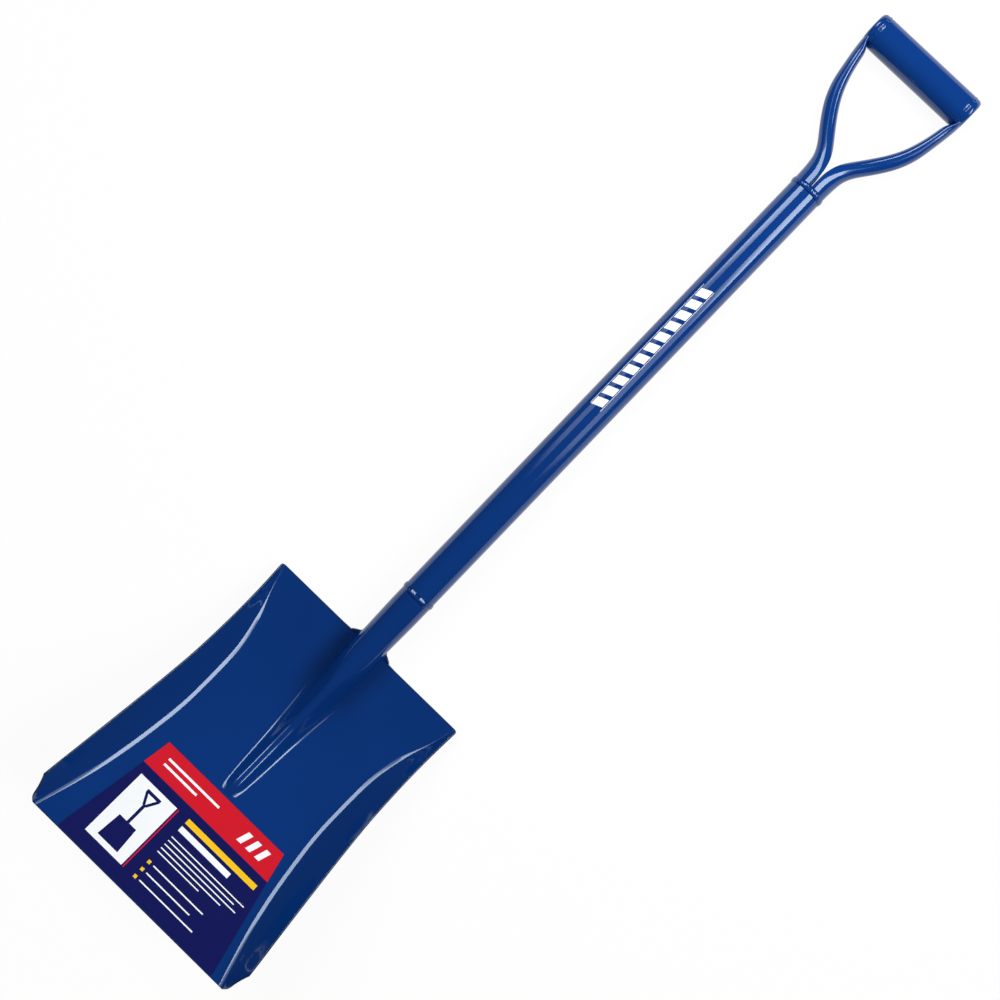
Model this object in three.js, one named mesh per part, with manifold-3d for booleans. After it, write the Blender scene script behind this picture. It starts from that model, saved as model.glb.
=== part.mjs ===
// Square mouth shovel, all steel, with a welded D handle.
// Millimetres, +Z up. It lies on its back with the mouth toward -Y and the handle toward +Y.
import * as THREE from "three";
import { mergeVertices } from "three/addons/utils/BufferGeometryUtils.js";
import Module from "manifold-3d";

const wasm = await Module();
wasm.setup();

// Gaps between pieces that touch on the real tool
const SEAT_GAP = 0.3;
const BEAD_CLEARANCE = 0.2;

// Shaft and socket, along the handle from the shoulder of the blade
const SHAFT_RADIUS = 16;
const TUBE_WALL = 1.5;
const SOCKET_LENGTH = 66;
const SHAFT_LENGTH = 494.3;
const SPIGOT_LENGTH = 34;
const SPIGOT_TAPER = 3;
const SPIGOT_CLEARANCE = 0.5;
const SOCKET_RADIUS_AT_SHOULDER = 15.2;
const SOCKET_SWELL_LENGTH = 52;
const SOCKET_CLOSING_LENGTH = 38;
const SOCKET_SEAM = 3.4;
const FLARE_LENGTH = 9;

// Blade sheet
const SHOULDER_LIFT = THREE.MathUtils.degToRad(2);
const MOUTH_LIFT = THREE.MathUtils.degToRad(24.5);
const BEND_LENGTH = 178;
const SHEET = 1.8;
const AXIS_OVER_FLOOR = 8;
const BLADE_LENGTH = 301.4;
const MOUTH_HALF_WIDTH = 114.9;
const WALL_HEIGHT = 25;
const FOLD_TANGENT = 3;
const FOLD_TANGENT_SHARE = 0.27;
const CREASE_DEPTH = 0.5;
const CORNER_CLIP = 26;
const SHOULDER_RADIUS = 2.5;

// Frog, the raised rib that carries the socket out into the blade
const FROG_LENGTH = 183;
const FROG_ROUND_LENGTH = 62;
const FROG_HALF_WIDTH = 23.9;
const FROG_CREST_HALF_WIDTH = 1.6;

// Weld beads
const BEAD_RADIUS = 17;
const SOCKET_BEAD_LENGTH = 5.4;
const YOKE_BEAD_LENGTH = 6;
const GRIP_BEAD_CROWN = 0.5;
const GRIP_BEAD_LEG = 2.6;

// Yoke and grip
const YOKE_LENGTH = 140.7;
const KERF = 1.4;
const ARM_SEAM = 0.6;
const EAR_OUTER = 57.4;
const EAR_THICKNESS = 5.8;
const EAR_RADIUS = 15.5;
const EAR_RIM_RADIUS = 2;
const EAR_INSET = 0.12;
const GRIP_RADIUS = 16;
const GRIP_END_RADIUS = 3.5;

// Label, with its corners as half widths left and right of the middle
const LABEL_THICKNESS = 0.3;
const LABEL_TOP_STATION = 185;
const LABEL_BOTTOM_STATION = 300.2;
const LABEL_TOP_LEFT = 68.6;
const LABEL_TOP_RIGHT = 74;
const LABEL_BOTTOM_LEFT = 84.9;
const LABEL_BOTTOM_RIGHT = 99.9;

// Curves as [place along the blade from shoulder to mouth, share of the mouth's half width]
const FOLD_SHARES = [
  [0, 0.933],
  [0.074, 0.884],
  [0.184, 0.785],
  [0.305, 0.734],
  [0.478, 0.731],
  [0.648, 0.772],
  [0.801, 0.84],
  [0.933, 0.935],
  [1, 0.99],
];
const WALL_TOP_SHARES = [
  [0, 0.961],
  [0.088, 0.948],
  [0.209, 0.941],
  [0.35, 0.946],
  [0.488, 0.967],
  [0.623, 0.997],
  [0.758, 1.031],
  [0.912, 1.075],
  [1, 1.1],
];
// The wall's height along the blade, as a share of its greatest height
const WALL_HEIGHT_SHARES = [
  [0, 0.06],
  [0.074, 0.29],
  [0.182, 0.61],
  [0.303, 0.84],
  [0.47, 0.98],
  [0.673, 1],
  [0.842, 0.88],
  [1, 0.76],
];
// The frog's foot along its length, as a share of its half width at the shoulder
const FROG_FOOT_SHARES = [
  [0, 1],
  [0.2, 0.85],
  [0.45, 0.69],
  [0.64, 0.565],
  [0.8, 0.49],
  [0.92, 0.42],
  [1, 0.34],
];
// The frog's crest along its length, as a share of its height at the shoulder
const FROG_CREST_SHARES = [
  [0, 1],
  [0.2, 0.91],
  [0.34, 0.76],
  [0.46, 0.59],
  [0.56, 0.46],
  [0.7, 0.36],
  [0.84, 0.295],
  [0.91, 0.26],
  [0.945, 0.2],
  [0.975, 0.1],
  [1, 0],
];
// The frog's side from the edge of its crest to its foot, as a share of the crest's height
const FROG_SIDE_SHARES = [
  [0, 1],
  [0.07, 0.98],
  [0.15, 0.92],
  [0.25, 0.8],
  [0.75, 0.18],
  [0.85, 0.07],
  [0.93, 0.015],
  [1, 0],
];
// An arm from the yoke weld to the grip's axis: how far its sides have moved out to the ear
const ARM_OUTER_SHARES = [
  [0, 0],
  [0.04, 0],
  [0.108, 0.009],
  [0.181, 0.037],
  [0.218, 0.082],
  [0.254, 0.149],
  [0.289, 0.234],
  [0.325, 0.33],
  [0.4, 0.514],
  [0.473, 0.668],
  [0.545, 0.779],
  [0.616, 0.853],
  [0.726, 0.921],
  [0.834, 0.976],
  [0.908, 1],
  [1, 1],
];
const ARM_INNER_SHARES = [
  [0, 0],
  [0.108, 0],
  [0.181, 0.028],
  [0.218, 0.058],
  [0.254, 0.099],
  [0.289, 0.156],
  [0.325, 0.221],
  [0.4, 0.373],
  [0.473, 0.517],
  [0.545, 0.638],
  [0.616, 0.729],
  [0.726, 0.825],
  [0.834, 0.888],
  [0.868, 0.91],
  [0.884, 0.965],
  [0.902, 1],
  [1, 1],
];
const ARM_CLOSING_SHARES = [0.06, 0.42];
const ARM_REACH_SHARE = 0.95;
const ARM_CRIMP_SHARE = 0.86;
const FROG_TIP_SHARE = 0.88;
const WALL_COLUMN_SHARES = [0.3, 1];
const CLIP_END_SHARE = 0.08;
const SHOULDER_END_SHARE = 0.4;
const FLARE_POWER = 1.4;
const CLIP_POWER = 1.8;

// Mesh fineness
const MERGE_DISTANCE = 0.001;
const FLOOR_PARTS = 64;
const ROUND_SEGMENTS = 40;
const ARC_COLUMNS = 7;
const FOOT_COLUMNS = 4;
const FLOOR_COLUMNS = 2;
const FOLD_COLUMNS = 3;
const ARM_COLUMNS = 18;
const BEAD_STEPS = 6;
const EDGE_STEPS = 3;
const CORNER_ROWS = 3;
const ROUND_ROWS = 8;
const RIDGE_ROWS = 9;
const TIP_ROWS = 6;
const FLAT_ROWS = 5;
const FLARE_ROWS = 5;
const ARM_ROWS = [2, 10, 7, 5];
const GRIP_BEAD_ROWS = 30;

// Places that follow from the sizes above, with the shaft's axis at height 0
const SHOULDER_DROP = AXIS_OVER_FLOOR * Math.cos(SHOULDER_LIFT);
const YOKE_START = SOCKET_LENGTH + SHAFT_LENGTH;
const GRIP_PLACE = YOKE_START + YOKE_LENGTH;
const EAR_INNER = EAR_OUTER - EAR_THICKNESS;
const GRIP_HALF_LENGTH = EAR_INNER - SEAT_GAP;
const FROG_COLUMNS = ARC_COLUMNS + FOOT_COLUMNS;
const SHOULDER_CREST = AXIS_OVER_FLOOR + SOCKET_RADIUS_AT_SHOULDER / Math.cos(SHOULDER_LIFT);
const MOUTH_PLACE = floorAt(BLADE_LENGTH)[0] - SHEET * Math.sin(MOUTH_LIFT);
const MIDDLE_PLACE = (GRIP_PLACE + GRIP_RADIUS + GRIP_BEAD_CROWN + MOUTH_PLACE) / 2;

function mix(from, to, share) {
  return THREE.MathUtils.lerp(from, to, share);
}

function smooth(value) {
  return THREE.MathUtils.smoothstep(value, 0, 1);
}

// How far the blade's floor leans up at a station, bent near the shoulder and flat from there on.
function liftAt(station) {
  return mix(SHOULDER_LIFT, MOUTH_LIFT, smooth(station / BEND_LENGTH));
}

// Place and height of the floor at a station, summed in small parts from the shoulder.
function floorAt(station) {
  const part = station / FLOOR_PARTS;
  const lifts = Array.from({ length: FLOOR_PARTS }, (_, k) => liftAt((k + 1 / 2) * part));
  const run = lifts.reduce((sum, lift) => sum + part * Math.cos(lift), 0);
  const rise = lifts.reduce((sum, lift) => sum + part * Math.sin(lift), 0);
  return [-run, rise - SHOULDER_DROP];
}

// Value at a place on the smooth curve through [place, value] pairs, without overshoot.
function curveAt(pairs, place) {
  const rise = (k) => (pairs[k + 1][1] - pairs[k][1]) / (pairs[k + 1][0] - pairs[k][0]);
  const slope = (k) => {
    if (k === 0) {
      return rise(0);
    }
    if (k === pairs.length - 1) {
      return rise(k - 1);
    }
    const before = rise(k - 1);
    const after = rise(k);
    return before * after > 0 ? (2 * before * after) / (before + after) : 0;
  };
  let k = 0;
  while (k < pairs.length - 2 && place > pairs[k + 1][0]) {
    k += 1;
  }
  const span = pairs[k + 1][0] - pairs[k][0];
  const u = (place - pairs[k][0]) / span;
  const start = pairs[k][1];
  const end = pairs[k + 1][1];
  const leave = slope(k) * span;
  const arrive = slope(k + 1) * span;
  const cubic = 2 * (start - end) + leave + arrive;
  const square = 3 * (end - start) - 2 * leave - arrive;
  return start + u * (leave + u * (square + u * cubic));
}

// Evenly spaced values after the first one, up to and with the last one.
function steps(from, to, count) {
  return Array.from({ length: count }, (_, k) => mix(from, to, (k + 1) / count));
}

// Geometry of a sheet of one thickness under a grid of points; a missing point leaves a notch.
function sheetGeometry(grid, thickness) {
  const ids = grid.map((row) => row.map(() => -1));
  const points = [];
  grid.forEach((row, i) => {
    row.forEach((point, j) => {
      if (point) {
        ids[i][j] = points.length;
        points.push(point);
      }
    });
  });
  const normals = points.map(() => new THREE.Vector3());
  const faces = [];
  for (let i = 0; i + 1 < grid.length; i += 1) {
    for (let j = 0; j + 1 < grid[i].length; j += 1) {
      const corners = [ids[i][j], ids[i][j + 1], ids[i + 1][j + 1], ids[i + 1][j]];
      if (!corners.includes(-1)) {
        const [a, b, c, d] = corners.map((id) => points[id]);
        const across = c.clone().sub(a);
        const normal = across.cross(d.clone().sub(b)).normalize();
        corners.forEach((id) => normals[id].add(normal));
        faces.push(corners);
      }
    }
  }
  const back = points.map((point, id) => {
    return point.clone().addScaledVector(normals[id].normalize(), -thickness);
  });
  const shift = points.length;
  const triangles = [];
  const edges = new Set();
  faces.forEach(([a, b, c, d]) => {
    triangles.push(a, b, c, a, c, d);
    triangles.push(a + shift, c + shift, b + shift, a + shift, d + shift, c + shift);
    [[a, b], [b, c], [c, d], [d, a]].forEach(([from, to]) => edges.add(`${from} ${to}`));
  });
  edges.forEach((edge) => {
    const [from, to] = edge.split(" ").map(Number);
    if (!edges.has(`${to} ${from}`)) {
      triangles.push(to, from, from + shift, to, from + shift, to + shift);
    }
  });
  const geometry = new THREE.BufferGeometry().setFromPoints([...points, ...back]);
  geometry.setIndex(triangles);
  return geometry;
}

// Geometry of a bar through closed loops of equal count, with flat ends.
function barGeometry(loops) {
  const count = loops[0].length;
  const triangles = [];
  for (let i = 0; i + 1 < loops.length; i += 1) {
    for (let j = 0; j < count; j += 1) {
      const a = i * count + j;
      const b = i * count + ((j + 1) % count);
      triangles.push(a, b, b + count, a, b + count, a + count);
    }
  }
  const last = (loops.length - 1) * count;
  for (let j = 1; j + 1 < count; j += 1) {
    triangles.push(0, j + 1, j);
    triangles.push(last, last + j, last + j + 1);
  }
  const geometry = new THREE.BufferGeometry().setFromPoints(loops.flat());
  geometry.setIndex(triangles);
  return geometry;
}

// Geometry of a closed [radius, height] profile turned about the Y axis.
function ringGeometry(profile) {
  const points = [...profile, profile[0]].map(([radius, height]) => new THREE.Vector2(radius, height));
  return new THREE.LatheGeometry(points, ROUND_SEGMENTS);
}

function solidOf(geometry) {
  const bare = geometry.clone();
  bare.deleteAttribute("normal");
  bare.deleteAttribute("uv");
  const merged = mergeVertices(bare, MERGE_DISTANCE);
  const index = merged.index.array;
  const kept = [];
  for (let i = 0; i < index.length; i += 3) {
    const [a, b, c] = index.slice(i, i + 3);
    if (a !== b && b !== c && c !== a) {
      kept.push(a, b, c);
    }
  }
  const vertProperties = merged.attributes.position.array;
  return new wasm.Manifold(
    new wasm.Mesh({ numProp: 3, vertProperties, triVerts: new Uint32Array(kept) }),
  );
}

function geometryOf(solid) {
  const mesh = solid.getMesh();
  const geometry = new THREE.BufferGeometry();
  geometry.setAttribute("position", new THREE.BufferAttribute(mesh.vertProperties, 3));
  geometry.setIndex(new THREE.BufferAttribute(mesh.triVerts, 1));
  return geometry;
}

// A point of the blade: across it, along it from the shoulder to the mouth, and over its floor.
function onBlade(across, station, height) {
  const [place, floor] = floorAt(station);
  const lift = liftAt(station);
  return new THREE.Vector3(
    across,
    place + height * Math.sin(lift),
    floor + height * Math.cos(lift),
  );
}

// The middle of the sheet at the shoulder, as [across, height]: the socket's round and its foot.
function shoulderColumn(column) {
  if (column <= ARC_COLUMNS) {
    const turn = (column / ARC_COLUMNS) * (Math.PI / 2);
    const height = (SOCKET_RADIUS_AT_SHOULDER * Math.cos(turn)) / Math.cos(SHOULDER_LIFT);
    return [SOCKET_RADIUS_AT_SHOULDER * Math.sin(turn), AXIS_OVER_FLOOR + height];
  }
  const turn = ((column - ARC_COLUMNS) / FOOT_COLUMNS) * (Math.PI / 2);
  const reach = FROG_HALF_WIDTH - SOCKET_RADIUS_AT_SHOULDER;
  return [FROG_HALF_WIDTH - reach * Math.cos(turn), AXIS_OVER_FLOOR * (1 - Math.sin(turn))];
}

// A point of the frog's section at a station: the socket's round at first, a ridge further on.
function frogColumn(station, column) {
  const along = Math.min(station / FROG_LENGTH, 1);
  const tall = curveAt(FROG_CREST_SHARES, along);
  const foot = FROG_HALF_WIDTH * curveAt(FROG_FOOT_SHARES, along);
  const across = foot * (column / FROG_COLUMNS);
  const down = Math.max((across - FROG_CREST_HALF_WIDTH) / (foot - FROG_CREST_HALF_WIDTH), 0);
  const side = SHOULDER_CREST * curveAt(FROG_SIDE_SHARES, down);
  const [roundAcross, roundHeight] = shoulderColumn(column);
  const ridge = smooth(station / FROG_ROUND_LENGTH);
  return [mix(roundAcross, across, ridge), tall * mix(roundHeight, side, ridge)];
}

// How much of the side wall stands at a station: the front clip and the rounded rear corner.
function wallStanding(station) {
  const past = Math.max((station - (BLADE_LENGTH - CORNER_CLIP)) / CORNER_CLIP, 0);
  const inside = Math.min(station / SHOULDER_RADIUS, 1);
  const corner = Math.sqrt(1 - (1 - inside) ** 2);
  return mix(1, CLIP_END_SHARE, past ** CLIP_POWER) * mix(SHOULDER_END_SHARE, 1, corner);
}

// Half of the blade's section at a station, from the middle to the top of the side wall.
function bladeHalf(station) {
  const along = station / BLADE_LENGTH;
  const frog = Array.from({ length: FROG_COLUMNS + 1 }, (_, j) => frogColumn(station, j));
  const foot = frog[FROG_COLUMNS][0];
  const fold = MOUTH_HALF_WIDTH * curveAt(FOLD_SHARES, along);
  const standing = wallStanding(station);
  const height = WALL_HEIGHT * curveAt(WALL_HEIGHT_SHARES, along);
  const outside = MOUTH_HALF_WIDTH * curveAt(WALL_TOP_SHARES, along);
  const edge = (SHEET * height) / Math.hypot(outside - fold, height);
  const run = (outside - edge - fold) * standing;
  const rise = height * standing;
  const slant = Math.hypot(run, rise);
  const tangent = Math.min(FOLD_TANGENT / slant, FOLD_TANGENT_SHARE);
  const foldStart = fold - tangent * slant;
  const floor = steps(foot, foldStart, FLOOR_COLUMNS).map((across) => [across, 0]);
  const round = steps(0, 1, FOLD_COLUMNS).map((u) => {
    const across = fold - tangent * slant * (1 - u) ** 2 + tangent * run * u ** 2;
    return [across, tangent * rise * u ** 2];
  });
  const crease = (CREASE_DEPTH * standing) / slant;
  const wall = WALL_COLUMN_SHARES.map((share, k) => {
    const out = k === 0 ? crease : 0;
    return [fold + run * share + rise * out, rise * share - run * out];
  });
  const outline = [...frog, ...floor, ...round, ...wall];
  return outline.map(([across, height]) => onBlade(across, station, height));
}

function socketRadius(distance) {
  return mix(SOCKET_RADIUS_AT_SHOULDER, SHAFT_RADIUS, smooth(distance / SOCKET_SWELL_LENGTH));
}

// Half of the socket at a distance behind the shoulder, from its crown to its free edge.
function socketHalf(distance) {
  const radius = socketRadius(distance);
  const closed = smooth(distance / SOCKET_CLOSING_LENGTH);
  const shut = Math.PI - Math.asin(SOCKET_SEAM / 2 / SHAFT_RADIUS);
  const side = mix(Math.PI / 2, (shut * ARC_COLUMNS) / FROG_COLUMNS, closed);
  const edge = mix(Math.PI / 2, shut, closed);
  const flared = Math.max(1 - distance / FLARE_LENGTH, 0) ** FLARE_POWER;
  return Array.from({ length: FROG_COLUMNS + 1 }, (_, j) => {
    const beyond = Math.max(j - ARC_COLUMNS, 0) / FOOT_COLUMNS;
    const turn = Math.min(j / ARC_COLUMNS, 1) * side + beyond * (edge - side);
    const [footAcross, footHeight] = shoulderColumn(j);
    const footDrop = (footHeight - AXIS_OVER_FLOOR) * Math.cos(SHOULDER_LIFT);
    const spread = j > ARC_COLUMNS ? flared : 0;
    const across = mix(radius * Math.sin(turn), footAcross, spread);
    const height = mix(radius * Math.cos(turn), footDrop, spread);
    const lean = (height + SHOULDER_DROP) * Math.tan(SHOULDER_LIFT) * (1 - closed);
    return new THREE.Vector3(across, distance + lean, height);
  });
}

function mirrored(half, columns) {
  const left = half.slice(1).map((point) => new THREE.Vector3(-point.x, point.y, point.z));
  const blank = Array(columns - half.length).fill(null);
  return [...blank, ...left.reverse(), ...half, ...blank];
}

function bladeGeometry() {
  const clipStart = BLADE_LENGTH - CORNER_CLIP;
  const tipStart = FROG_LENGTH * FROG_TIP_SHARE;
  const stations = [
    0,
    ...steps(0, SHOULDER_RADIUS, CORNER_ROWS),
    ...steps(SHOULDER_RADIUS, FROG_ROUND_LENGTH, ROUND_ROWS),
    ...steps(FROG_ROUND_LENGTH, tipStart, RIDGE_ROWS),
    ...steps(tipStart, FROG_LENGTH, TIP_ROWS),
    ...steps(FROG_LENGTH, clipStart, FLAT_ROWS),
    ...steps(clipStart, BLADE_LENGTH, CORNER_ROWS),
  ];
  const distances = [
    ...steps(0, FLARE_LENGTH, FLARE_ROWS),
    ...steps(FLARE_LENGTH, SOCKET_CLOSING_LENGTH, FLARE_ROWS),
    ...steps(SOCKET_CLOSING_LENGTH, SOCKET_LENGTH - SEAT_GAP / 2, CORNER_ROWS),
  ];
  const blade = stations.reverse().map(bladeHalf);
  const columns = blade[0].length;
  const socket = distances.map(socketHalf);
  return sheetGeometry([...blade, ...socket].map((half) => mirrored(half, columns)), SHEET);
}

function shaftGeometry() {
  const start = SOCKET_LENGTH + SEAT_GAP / 2;
  const end = YOKE_START - SEAT_GAP / 2;
  const tip = start - SPIGOT_LENGTH;
  const spigot = socketRadius(tip) - SHEET - SPIGOT_CLEARANCE;
  return ringGeometry([
    [spigot, tip],
    [spigot, start],
    [SHAFT_RADIUS, start],
    [SHAFT_RADIUS, end],
    [SHAFT_RADIUS - TUBE_WALL, end],
    [SHAFT_RADIUS - TUBE_WALL, start + SPIGOT_TAPER],
    [spigot - TUBE_WALL, start - SPIGOT_TAPER],
    [spigot - TUBE_WALL, tip],
  ]);
}

function beadGeometry(length) {
  const inner = SHAFT_RADIUS + BEAD_CLEARANCE;
  const crown = steps(-1, 1, BEAD_STEPS).slice(0, -1).map((u) => {
    return [mix(BEAD_RADIUS, inner, u * u), (u * length) / 2];
  });
  return ringGeometry([[inner, -length / 2], ...crown, [inner, length / 2]]);
}

// The flattened round of a rolled strip, followed from the middle of its outer side.
function rolledPoint(halfWidth, flat, share) {
  const around = Math.PI * halfWidth;
  const gone = Math.abs(share) * (2 * flat + around - ARM_SEAM / 2);
  const side = Math.sign(share);
  if (gone <= flat) {
    return [halfWidth, side * gone];
  }
  if (gone < flat + around) {
    const turn = (gone - flat) / halfWidth;
    return [halfWidth * Math.cos(turn), side * (flat + halfWidth * Math.sin(turn))];
  }
  return [-halfWidth, side * (2 * flat + around - gone)];
}

function armSides(along) {
  const outer = mix(SHAFT_RADIUS, EAR_OUTER - EAR_INSET, curveAt(ARM_OUTER_SHARES, along));
  const inner = mix(KERF / 2, EAR_INNER + EAR_INSET, curveAt(ARM_INNER_SHARES, along));
  return [(outer + inner) / 2, (outer - inner) / 2];
}

// One row across the arm's strip: half of the split tube at first, rolled shut further up.
function armRow(along) {
  const [middle, halfWidth] = armSides(along);
  const [startMiddle, startHalfWidth] = armSides(0);
  const reach = 1 / ROUND_SEGMENTS;
  const ahead = armSides(Math.min(along + reach, 1))[0];
  const behind = armSides(Math.max(along - reach, 0))[0];
  const slope = along > ARM_CRIMP_SHARE ? 0 : (ahead - behind) / (2 * reach * YOKE_LENGTH);
  const square = halfWidth / Math.hypot(1, slope);
  const flat = (Math.PI * SHAFT_RADIUS - 2 * Math.PI * square) / 4;
  const [closingStart, closingEnd] = ARM_CLOSING_SHARES;
  const closed = smooth((along - closingStart) / (closingEnd - closingStart));
  const open = Math.acos(KERF / 2 / SHAFT_RADIUS);
  const place = YOKE_START + SEAT_GAP / 2 + along * (YOKE_LENGTH - SEAT_GAP / 2);
  return [1, ...steps(1, -1, ARM_COLUMNS)].map((share) => {
    const splitAcross = SHAFT_RADIUS * Math.cos(share * open) - startMiddle;
    const [rolledAcross, rolledHeight] = rolledPoint(square, Math.max(flat, 0), share);
    const across = mix(splitAcross / startHalfWidth, rolledAcross / square, closed);
    const height = mix(SHAFT_RADIUS * Math.sin(share * open), rolledHeight, closed);
    return new THREE.Vector3(middle + across * halfWidth, place, height);
  });
}

function earGeometry() {
  const rim = steps(0, Math.PI / 2, EDGE_STEPS).map((turn) => {
    const radius = EAR_RADIUS - EAR_RIM_RADIUS * (1 - Math.cos(turn));
    return [radius, EAR_OUTER - EAR_RIM_RADIUS * (1 - Math.sin(turn))];
  });
  const profile = [
    [0, EAR_INNER],
    [EAR_RADIUS, EAR_INNER],
    [EAR_RADIUS, EAR_OUTER - EAR_RIM_RADIUS],
    ...rim,
    [0, EAR_OUTER],
  ];
  const points = profile.map(([radius, height]) => new THREE.Vector2(radius, height));
  const ear = new THREE.LatheGeometry(points, ROUND_SEGMENTS);
  ear.rotateZ(-Math.PI / 2);
  ear.translate(0, GRIP_PLACE, 0);
  return ear;
}

function armGeometry() {
  const parts = [0, ARM_OUTER_SHARES[2][0], ARM_CLOSING_SHARES[1], ARM_CRIMP_SHARE, ARM_REACH_SHARE];
  const alongs = [0, ...ARM_ROWS.flatMap((rows, k) => steps(parts[k], parts[k + 1], rows))];
  const strip = solidOf(sheetGeometry(alongs.map(armRow), TUBE_WALL));
  return geometryOf(strip.add(solidOf(earGeometry())));
}

// The grip's rounded end, as [radius, place along the grip], at a distance under its skin.
function gripEnd(depth) {
  const centre = GRIP_HALF_LENGTH - GRIP_END_RADIUS;
  return [0, ...steps(0, Math.PI / 2, EDGE_STEPS)].map((turn) => {
    const radius = GRIP_END_RADIUS - depth;
    const out = GRIP_RADIUS - GRIP_END_RADIUS + radius * Math.cos(turn);
    return [out, centre + radius * Math.sin(turn)];
  });
}

function gripGeometry() {
  const skin = gripEnd(0);
  const bore = gripEnd(TUBE_WALL);
  const flip = (points) => points.map(([radius, place]) => [radius, -place]).reverse();
  const grip = ringGeometry([...flip(skin), ...skin, ...bore.reverse(), ...flip(bore.reverse())]);
  grip.rotateZ(-Math.PI / 2);
  return grip;
}

// The bead that fills the valley between the grip's rounded end and the ear's flat face.
function gripBeadGeometry() {
  const face = EAR_INNER - SEAT_GAP;
  const centre = [GRIP_RADIUS - GRIP_END_RADIUS, GRIP_HALF_LENGTH - GRIP_END_RADIUS];
  const radius = GRIP_END_RADIUS + SEAT_GAP;
  const startTurn = Math.asin((GRIP_END_RADIUS - GRIP_BEAD_LEG) / radius);
  const endTurn = Math.acos(GRIP_BEAD_CROWN / radius);
  const valley = [startTurn, ...steps(startTurn, endTurn, EDGE_STEPS)].map((turn) => {
    return [centre[0] + radius * Math.cos(turn), centre[1] + radius * Math.sin(turn)];
  });
  const section = [...valley, [EAR_RADIUS, face], [GRIP_RADIUS + GRIP_BEAD_CROWN, face - GRIP_BEAD_LEG / 2]];
  const arm = Math.asin((Math.PI * SHAFT_RADIUS) / 4 / GRIP_RADIUS);
  const turns = [arm, ...steps(arm, 2 * Math.PI - arm, GRIP_BEAD_ROWS)];
  const loops = turns.map((turn) => {
    return section.map(([out, place]) => {
      return new THREE.Vector3(place, GRIP_PLACE - out * Math.cos(turn), -out * Math.sin(turn));
    });
  });
  return barGeometry(loops);
}

function labelGeometry() {
  const height = SEAT_GAP + LABEL_THICKNESS;
  const bottom = [
    onBlade(-LABEL_BOTTOM_LEFT, LABEL_BOTTOM_STATION, height),
    onBlade(LABEL_BOTTOM_RIGHT, LABEL_BOTTOM_STATION, height),
  ];
  const top = [
    onBlade(-LABEL_TOP_LEFT, LABEL_TOP_STATION, height),
    onBlade(LABEL_TOP_RIGHT, LABEL_TOP_STATION, height),
  ];
  return sheetGeometry([bottom, top], LABEL_THICKNESS);
}

const shovel = new THREE.Group();
shovel.position.set(0, -MIDDLE_PLACE, BEAD_RADIUS);

function piece(name, geometry, color, roughness, metalness) {
  const mesh = new THREE.Mesh(
    geometry,
    new THREE.MeshStandardMaterial({ color, roughness, metalness }),
  );
  mesh.name = name;
  shovel.add(mesh);
  return mesh;
}

piece("blade", bladeGeometry(), 0x0f367b, 0.3, 0.1);
piece("socket_weld", beadGeometry(SOCKET_BEAD_LENGTH), 0x0e3478, 0.4, 0.1).position.y = SOCKET_LENGTH;
piece("shaft_tube", shaftGeometry(), 0x12397d, 0.3, 0.1);
piece("yoke_weld", beadGeometry(YOKE_BEAD_LENGTH), 0x0e3478, 0.4, 0.1).position.y = YOKE_START;
piece("yoke_arm_right", armGeometry(), 0x143f88, 0.3, 0.1);
piece("yoke_arm_left", armGeometry(), 0x143f88, 0.3, 0.1).scale.x = -1;
piece("grip_tube", gripGeometry(), 0x12418e, 0.3, 0.1).position.y = GRIP_PLACE;
piece("grip_weld_right", gripBeadGeometry(), 0x0e3478, 0.4, 0.1);
piece("grip_weld_left", gripBeadGeometry(), 0x0e3478, 0.4, 0.1).scale.x = -1;
piece("blade_label", labelGeometry(), 0x161c64, 0.5, 0);

export default shovel;
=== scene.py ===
"""Looks of the square mouth shovel: all steel, folded-side blade, tube shaft, D handle.

Shapes are drawn in millimetres from the shoulder of the blade, with the shaft's axis at
height 0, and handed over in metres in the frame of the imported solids.
"""

import logging
import math
from dataclasses import dataclass, field
from enum import Enum

import bpy
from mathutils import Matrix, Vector


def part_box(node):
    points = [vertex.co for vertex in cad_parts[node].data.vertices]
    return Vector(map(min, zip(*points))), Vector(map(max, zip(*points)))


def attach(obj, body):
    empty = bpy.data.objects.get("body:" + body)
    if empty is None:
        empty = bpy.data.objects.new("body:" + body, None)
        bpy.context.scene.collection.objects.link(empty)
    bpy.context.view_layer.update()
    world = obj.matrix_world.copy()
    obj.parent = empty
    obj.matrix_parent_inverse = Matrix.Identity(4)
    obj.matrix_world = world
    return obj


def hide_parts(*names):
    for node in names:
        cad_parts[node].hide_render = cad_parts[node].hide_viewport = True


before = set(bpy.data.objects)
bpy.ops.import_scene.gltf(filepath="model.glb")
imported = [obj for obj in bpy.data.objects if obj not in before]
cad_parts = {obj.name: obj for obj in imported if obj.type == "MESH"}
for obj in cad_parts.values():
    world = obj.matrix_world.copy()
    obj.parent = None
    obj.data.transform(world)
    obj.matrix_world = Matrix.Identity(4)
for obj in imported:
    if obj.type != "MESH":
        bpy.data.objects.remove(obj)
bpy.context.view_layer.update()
LOG = logging.getLogger("shovel")

MM = 0.001
BODY = "root"
EASE_PARTS = 4
QUARTER_TURN = math.pi / 2

Pairs = tuple[tuple[float, float], ...]
Row = list[Vector | None]
Face = tuple[int, ...]
Color = tuple[float, float, float]
Given = bpy.types.NodeSocket | float | tuple[float, ...]


def mix(start: float, end: float, share: float) -> float:
    """Value at a share of the way from start to end."""
    return start + (end - start) * share


def smooth(value: float) -> float:
    """Smooth step of a value held between 0 and 1."""
    held = min(max(value, 0.0), 1.0)
    return held * held * (3 - 2 * held)


def spread(start: float, end: float, count: int) -> list[float]:
    """Values from start to end, with a count of equal steps between them."""
    return [mix(start, end, k / count) for k in range(count + 1)]


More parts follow.
